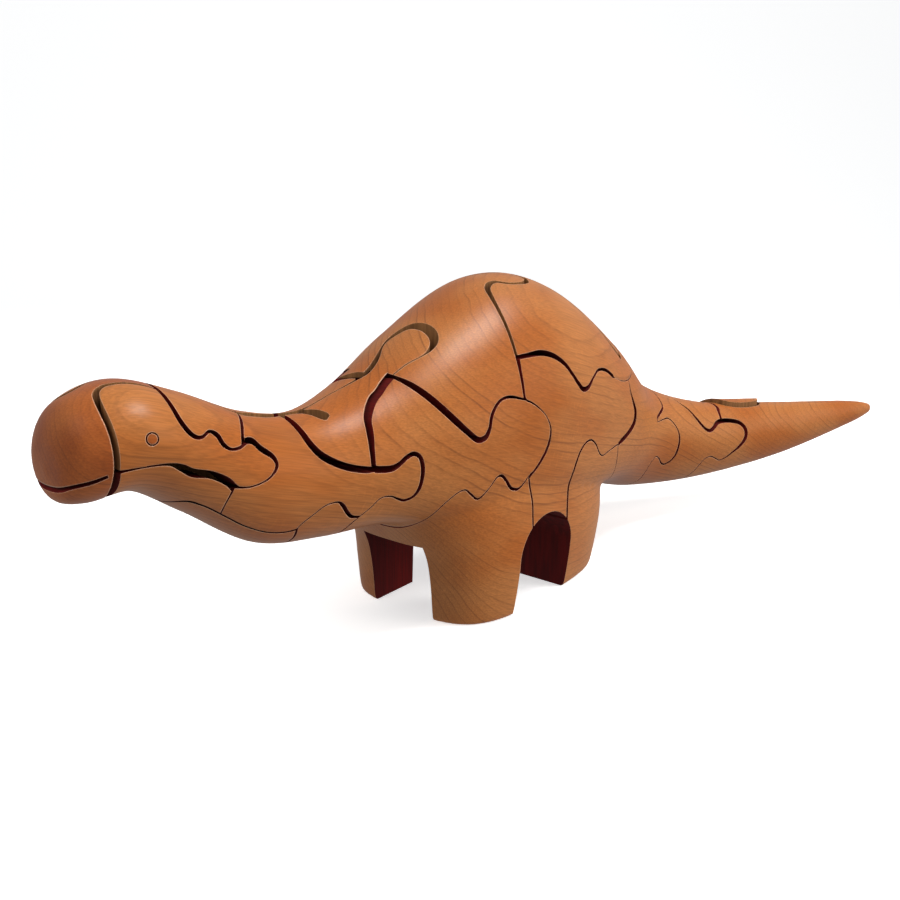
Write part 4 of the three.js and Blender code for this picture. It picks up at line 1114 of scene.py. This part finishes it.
class FitEyes(bpy.types.Operator):
    """Bore the cheeks and set a wooden eye peg flush in each"""

    bl_idname = "jigsaw.fit_eyes"
    bl_label = "Fit eyes"

    def execute(self, context):
        radius, depth, clearance = sizes().eye_diameter / 2, sizes().eye_depth, sizes().eye_clearance
        for word, side in (("left", -1), ("right", 1)):
            cheek = blank(f"{word} cheek block")
            peg = combined(cheek, eye_peg(side, radius, depth - clearance), "INTERSECT")
            bored = combined(cheek, eye_peg(side, radius + clearance, depth), "DIFFERENCE")
            finished(bored, f"cheek_{word}")
            finished(peg, f"eye_{word}", slot="eye_peg", body=f"cheek_{word}")
        return {"FINISHED"}


class SawBack(bpy.types.Operator):
    """Saw the top of the neck and the hump into the five pieces that lift off"""

    bl_idname = "jigsaw.saw_back"
    bl_label = "Saw back"

    def execute(self, context):
        back, lower_body = sawn_from_side(blank("headless block"), BACK_LINE_SHARES, UPWARD)
        keep_blank(lower_body, "lower body block")
        neck_left, rest = sawn_from_above(back, NECK_RIDGE_LINE_SHARES, TOWARD_LEFT)
        slot = kerf_tool(saw_path(TURNING_SLOT_LINE_SHARES, sizes().width), through_upright)
        neck_left = combined(neck_left, slot, "DIFFERENCE")
        neck_right, humps = sawn_from_above(rest, NECK_RIGHT_LINE_SHARES, TOWARD_HEAD)
        hump_front, rump = sawn_from_above(humps, HUMP_LINE_SHARES, TOWARD_HEAD)
        rump_right, hump_rear = sawn_from_above(rump, RUMP_LINE_SHARES, TOWARD_RIGHT)
        for piece, node in (
                (neck_left, "neck_left"), (neck_right, "neck_right"), (hump_front, "hump_front"),
                (rump_right, "rump_right"), (hump_rear, "hump_rear")):
            finished(piece, node)
        return {"FINISHED"}


class SawBody(bpy.types.Operator):
    """Saw the lower body into chest, neck bands, shoulder, flank and the two pairs of legs"""

    bl_idname = "jigsaw.saw_body"
    bl_label = "Saw body"

    def execute(self, context):
        neck, below = sawn_from_side(blank("lower body block"), BAND_LINE_SHARES, TOWARD_HEAD)
        chest, band = sawn_from_side(neck, CHEST_LINE_SHARES, DOWNWARD)
        band_right, band_left = sawn_from_above(band, BAND_RIDGE_LINE_SHARES, TOWARD_RIGHT)
        tail, trunk = sawn_from_side(below, TAIL_ROOT_LINE_SHARES, TOWARD_TAIL)
        keep_blank(tail, "tail block")
        fore, rear = sawn_from_side(trunk, FLANK_LINE_SHARES, TOWARD_HEAD)
        front_legs, shoulder = sawn_from_side(fore, FRONT_LEG_LINE_SHARES, DOWNWARD)
        rear_legs, flank = sawn_from_side(rear, REAR_LEG_LINE_SHARES, DOWNWARD)
        for piece, node in (
                (chest, "chest"), (band_left, "neck_band_left"), (band_right, "neck_band_right"),
                (front_legs, "front_legs"), (shoulder, "shoulder"), (rear_legs, "rear_legs"),
                (flank, "flank")):
            finished(piece, node)
        return {"FINISHED"}


class SawTail(bpy.types.Operator):
    """Saw the tail into root, middle, saddle, key and tip, and raise the key"""

    bl_idname = "jigsaw.saw_tail"
    bl_label = "Saw tail"

    def execute(self, context):
        rear, root = sawn_from_side(blank("tail block"), TAIL_MIDDLE_LINE_SHARES, TOWARD_TAIL)
        end, middle = sawn_from_side(rear, TAIL_TIP_LINE_SHARES, TOWARD_TAIL)
        saddle, rest = sawn_from_side(end, SADDLE_LINE_SHARES, TOWARD_HEAD)
        key, tip = sawn_from_above(rest, TAIL_KEY_LINE_SHARES, TOWARD_RIGHT)
        for piece, node in (
                (root, "tail_root"), (middle, "tail_middle"), (saddle, "tail_saddle"),
                (tip, "tail_tip")):
            finished(piece, node)
        finished(key, "tail_key", lift=sizes().key_lift)
        return {"FINISHED"}


# Camera of the photograph: place in metres, pitch and turn in degrees, focal length in mm, and the
# nearest that it sees, in metres
CAMERA_PLACE = (-0.29523, -0.15669, 0.13470)
CAMERA_TURN = (75.62, 0.0, -51.63)
CAMERA_LENS = 31.2
CAMERA_NEAREST = 0.01

# Sweep behind the animal, in metres: half width, front edge, start of the bend and its radius,
# how high it rises, and the steps of the bend
SWEEP_HALF_WIDTH = 4.0
SWEEP_FRONT = -2.0
SWEEP_BEND = 1.6
SWEEP_RADIUS = 1.2
SWEEP_TOP = 4.0
SWEEP_STEPS = 24

# White shell round the whole stage: radius in metres, and its faces round and up
SHELL_RADIUS = 6.0
SHELL_AROUND = 48
SHELL_UP = 24

# Lamps: place and width in metres, power in watts, and whether the oiled wood mirrors them. All face
# one point, and the sky's colour and strength fill in the rest
LAMPS = {
    "key": ((0.25, -0.375, 1.16), 0.36, 6.6, True),
    "fill": ((0.7, -1.25, 0.5), 0.9, 14, False),
    "window": ((-0.95, 0.1, 0.95), 0.7, 5.5, False),
}
LAMP_AIM = (0.0, 0.0, 0.06)
LAMP_COLOUR = (1.0, 0.98, 0.95)
SKY_COLOUR = (0.96, 0.98, 1.0, 1)
SKY_STRENGTH = 0.38


def area_light(name):
    """Soft lamp that faces the animal."""
    place, width, power, mirrored = LAMPS[name]
    lamp = bpy.data.lights.new(name, "AREA")
    lamp.shape = "DISK"
    lamp.size = width
    lamp.energy = power
    lamp.color = LAMP_COLOUR
    light = bpy.data.objects.new(name, lamp)
    light.location = place
    light.rotation_euler = (Vector(LAMP_AIM) - Vector(place)).to_track_quat("-Z", "Y").to_euler()
    light.visible_glossy = mirrored
    bpy.context.scene.collection.objects.link(light)


def backdrop(name, mesh, colour, glow):
    """Glowing matt part of the stage that neither lights the animal nor shows in its oil."""
    material = bpy.data.materials.new(f"pale {name}")
    material.use_nodes = True
    paint = material.node_tree.nodes["Principled BSDF"]
    paint.inputs["Base Color"].default_value = (*colour, 1)
    paint.inputs["Roughness"].default_value = 0.9
    paint.inputs["Emission Color"].default_value = (1, 1, 1, 1)
    paint.inputs["Emission Strength"].default_value = glow
    mesh.materials.append(material)
    part = bpy.data.objects.new(name, mesh)
    part.visible_diffuse = False
    part.visible_glossy = False
    bpy.context.scene.collection.objects.link(part)
    return part


def sweep():
    """Floor that bends up into a backdrop, away from the camera."""
    heading = math.radians(CAMERA_TURN[2] + 90)
    ahead = Vector((math.cos(heading), math.sin(heading), 0))
    aside = Vector((-math.sin(heading), math.cos(heading), 0))
    profile = [(SWEEP_FRONT, 0.0)]
    for step in range(SWEEP_STEPS + 1):
        angle = math.pi / 2 * step / SWEEP_STEPS
        profile.append((
            SWEEP_BEND + SWEEP_RADIUS * math.sin(angle), SWEEP_RADIUS * (1 - math.cos(angle))))
    profile.append((SWEEP_BEND + SWEEP_RADIUS, SWEEP_TOP))
    points = [
        ahead * far + aside * side * SWEEP_HALF_WIDTH + Vector((0, 0, up))
        for far, up in profile for side in (-1, 1)]
    faces = [(at, at + 1, at + 3, at + 2) for at in range(0, len(points) - 2, 2)]
    mesh = bpy.data.meshes.new("sweep")
    mesh.from_pydata([tuple(point) for point in points], [], faces)
    mesh.shade_smooth()
    floor = backdrop("sweep", mesh, colours().floor, colours().floor_glow)


def shell():
    """White shell that only the camera sees, so that the stage has no edge from any side."""
    mesh = bpy.data.meshes.new("shell")
    form = bmesh.new()
    bmesh.ops.create_uvsphere(
        form, u_segments=SHELL_AROUND, v_segments=SHELL_UP, radius=SHELL_RADIUS)
    form.to_mesh(mesh)
    form.free()
    room = backdrop("shell", mesh, (0, 0, 0), 1.0)
    room.visible_transmission = False
    room.visible_shadow = False


class LightStage(bpy.types.Operator):
    """Set up the pale floor, the soft studio light and the photograph's camera"""

    bl_idname = "jigsaw.light_stage"
    bl_label = "Light stage"

    def execute(self, context):
        scene = context.scene
        sweep()
        shell()
        for name in LAMPS:
            area_light(name)
        scene.world = bpy.data.worlds.new("studio")
        scene.world.use_nodes = True
        sky = scene.world.node_tree.nodes["Background"]
        sky.inputs["Color"].default_value = SKY_COLOUR
        sky.inputs["Strength"].default_value = SKY_STRENGTH
        camera = bpy.data.objects.new("camera", bpy.data.cameras.new("camera"))
        camera.location = CAMERA_PLACE
        camera.rotation_euler = [math.radians(angle) for angle in CAMERA_TURN]
        camera.data.lens = CAMERA_LENS
        camera.data.clip_start = CAMERA_NEAREST
        scene.collection.objects.link(camera)
        scene.camera = camera
        scene.view_settings.view_transform = "Standard"
        return {"FINISHED"}


OPERATORS = (CarveBlock, SawHead, FitEyes, SawBack, SawBody, SawTail, LightStage)


class JigsawPanel(bpy.types.Panel):
    """Sizes and colours of the jigsaw, and a button for each step."""

    bl_idname = "VIEW3D_PT_sauropod_jigsaw"
    bl_label = "Sauropod jigsaw"
    bl_space_type = "VIEW_3D"
    bl_region_type = "UI"
    bl_category = "Jigsaw"

    def draw(self, context):
        for settings in (context.scene.jigsaw_sizes, context.scene.jigsaw_colours):
            column = self.layout.column()
            for key in settings.bl_rna.properties.keys():
                if key not in ("rna_type", "name"):
                    column.prop(settings, key)
        for operator in OPERATORS:
            self.layout.operator(operator.bl_idname)


CLASSES = (JigsawSizes, JigsawColours, *OPERATORS, JigsawPanel)


def register():
    for each in CLASSES:
        bpy.utils.register_class(each)
    bpy.types.Scene.jigsaw_sizes = bpy.props.PointerProperty(type=JigsawSizes)
    bpy.types.Scene.jigsaw_colours = bpy.props.PointerProperty(type=JigsawColours)


def unregister():
    del bpy.types.Scene.jigsaw_colours
    del bpy.types.Scene.jigsaw_sizes
    for each in reversed(CLASSES):
        bpy.utils.unregister_class(each)


def main():
    register()
    bpy.ops.jigsaw.carve_block()
    bpy.ops.jigsaw.saw_head()
    bpy.ops.jigsaw.fit_eyes()
    bpy.ops.jigsaw.saw_back()
    bpy.ops.jigsaw.saw_body()
    bpy.ops.jigsaw.saw_tail()
    bpy.ops.jigsaw.light_stage()


if __name__ == "__main__":
    main()
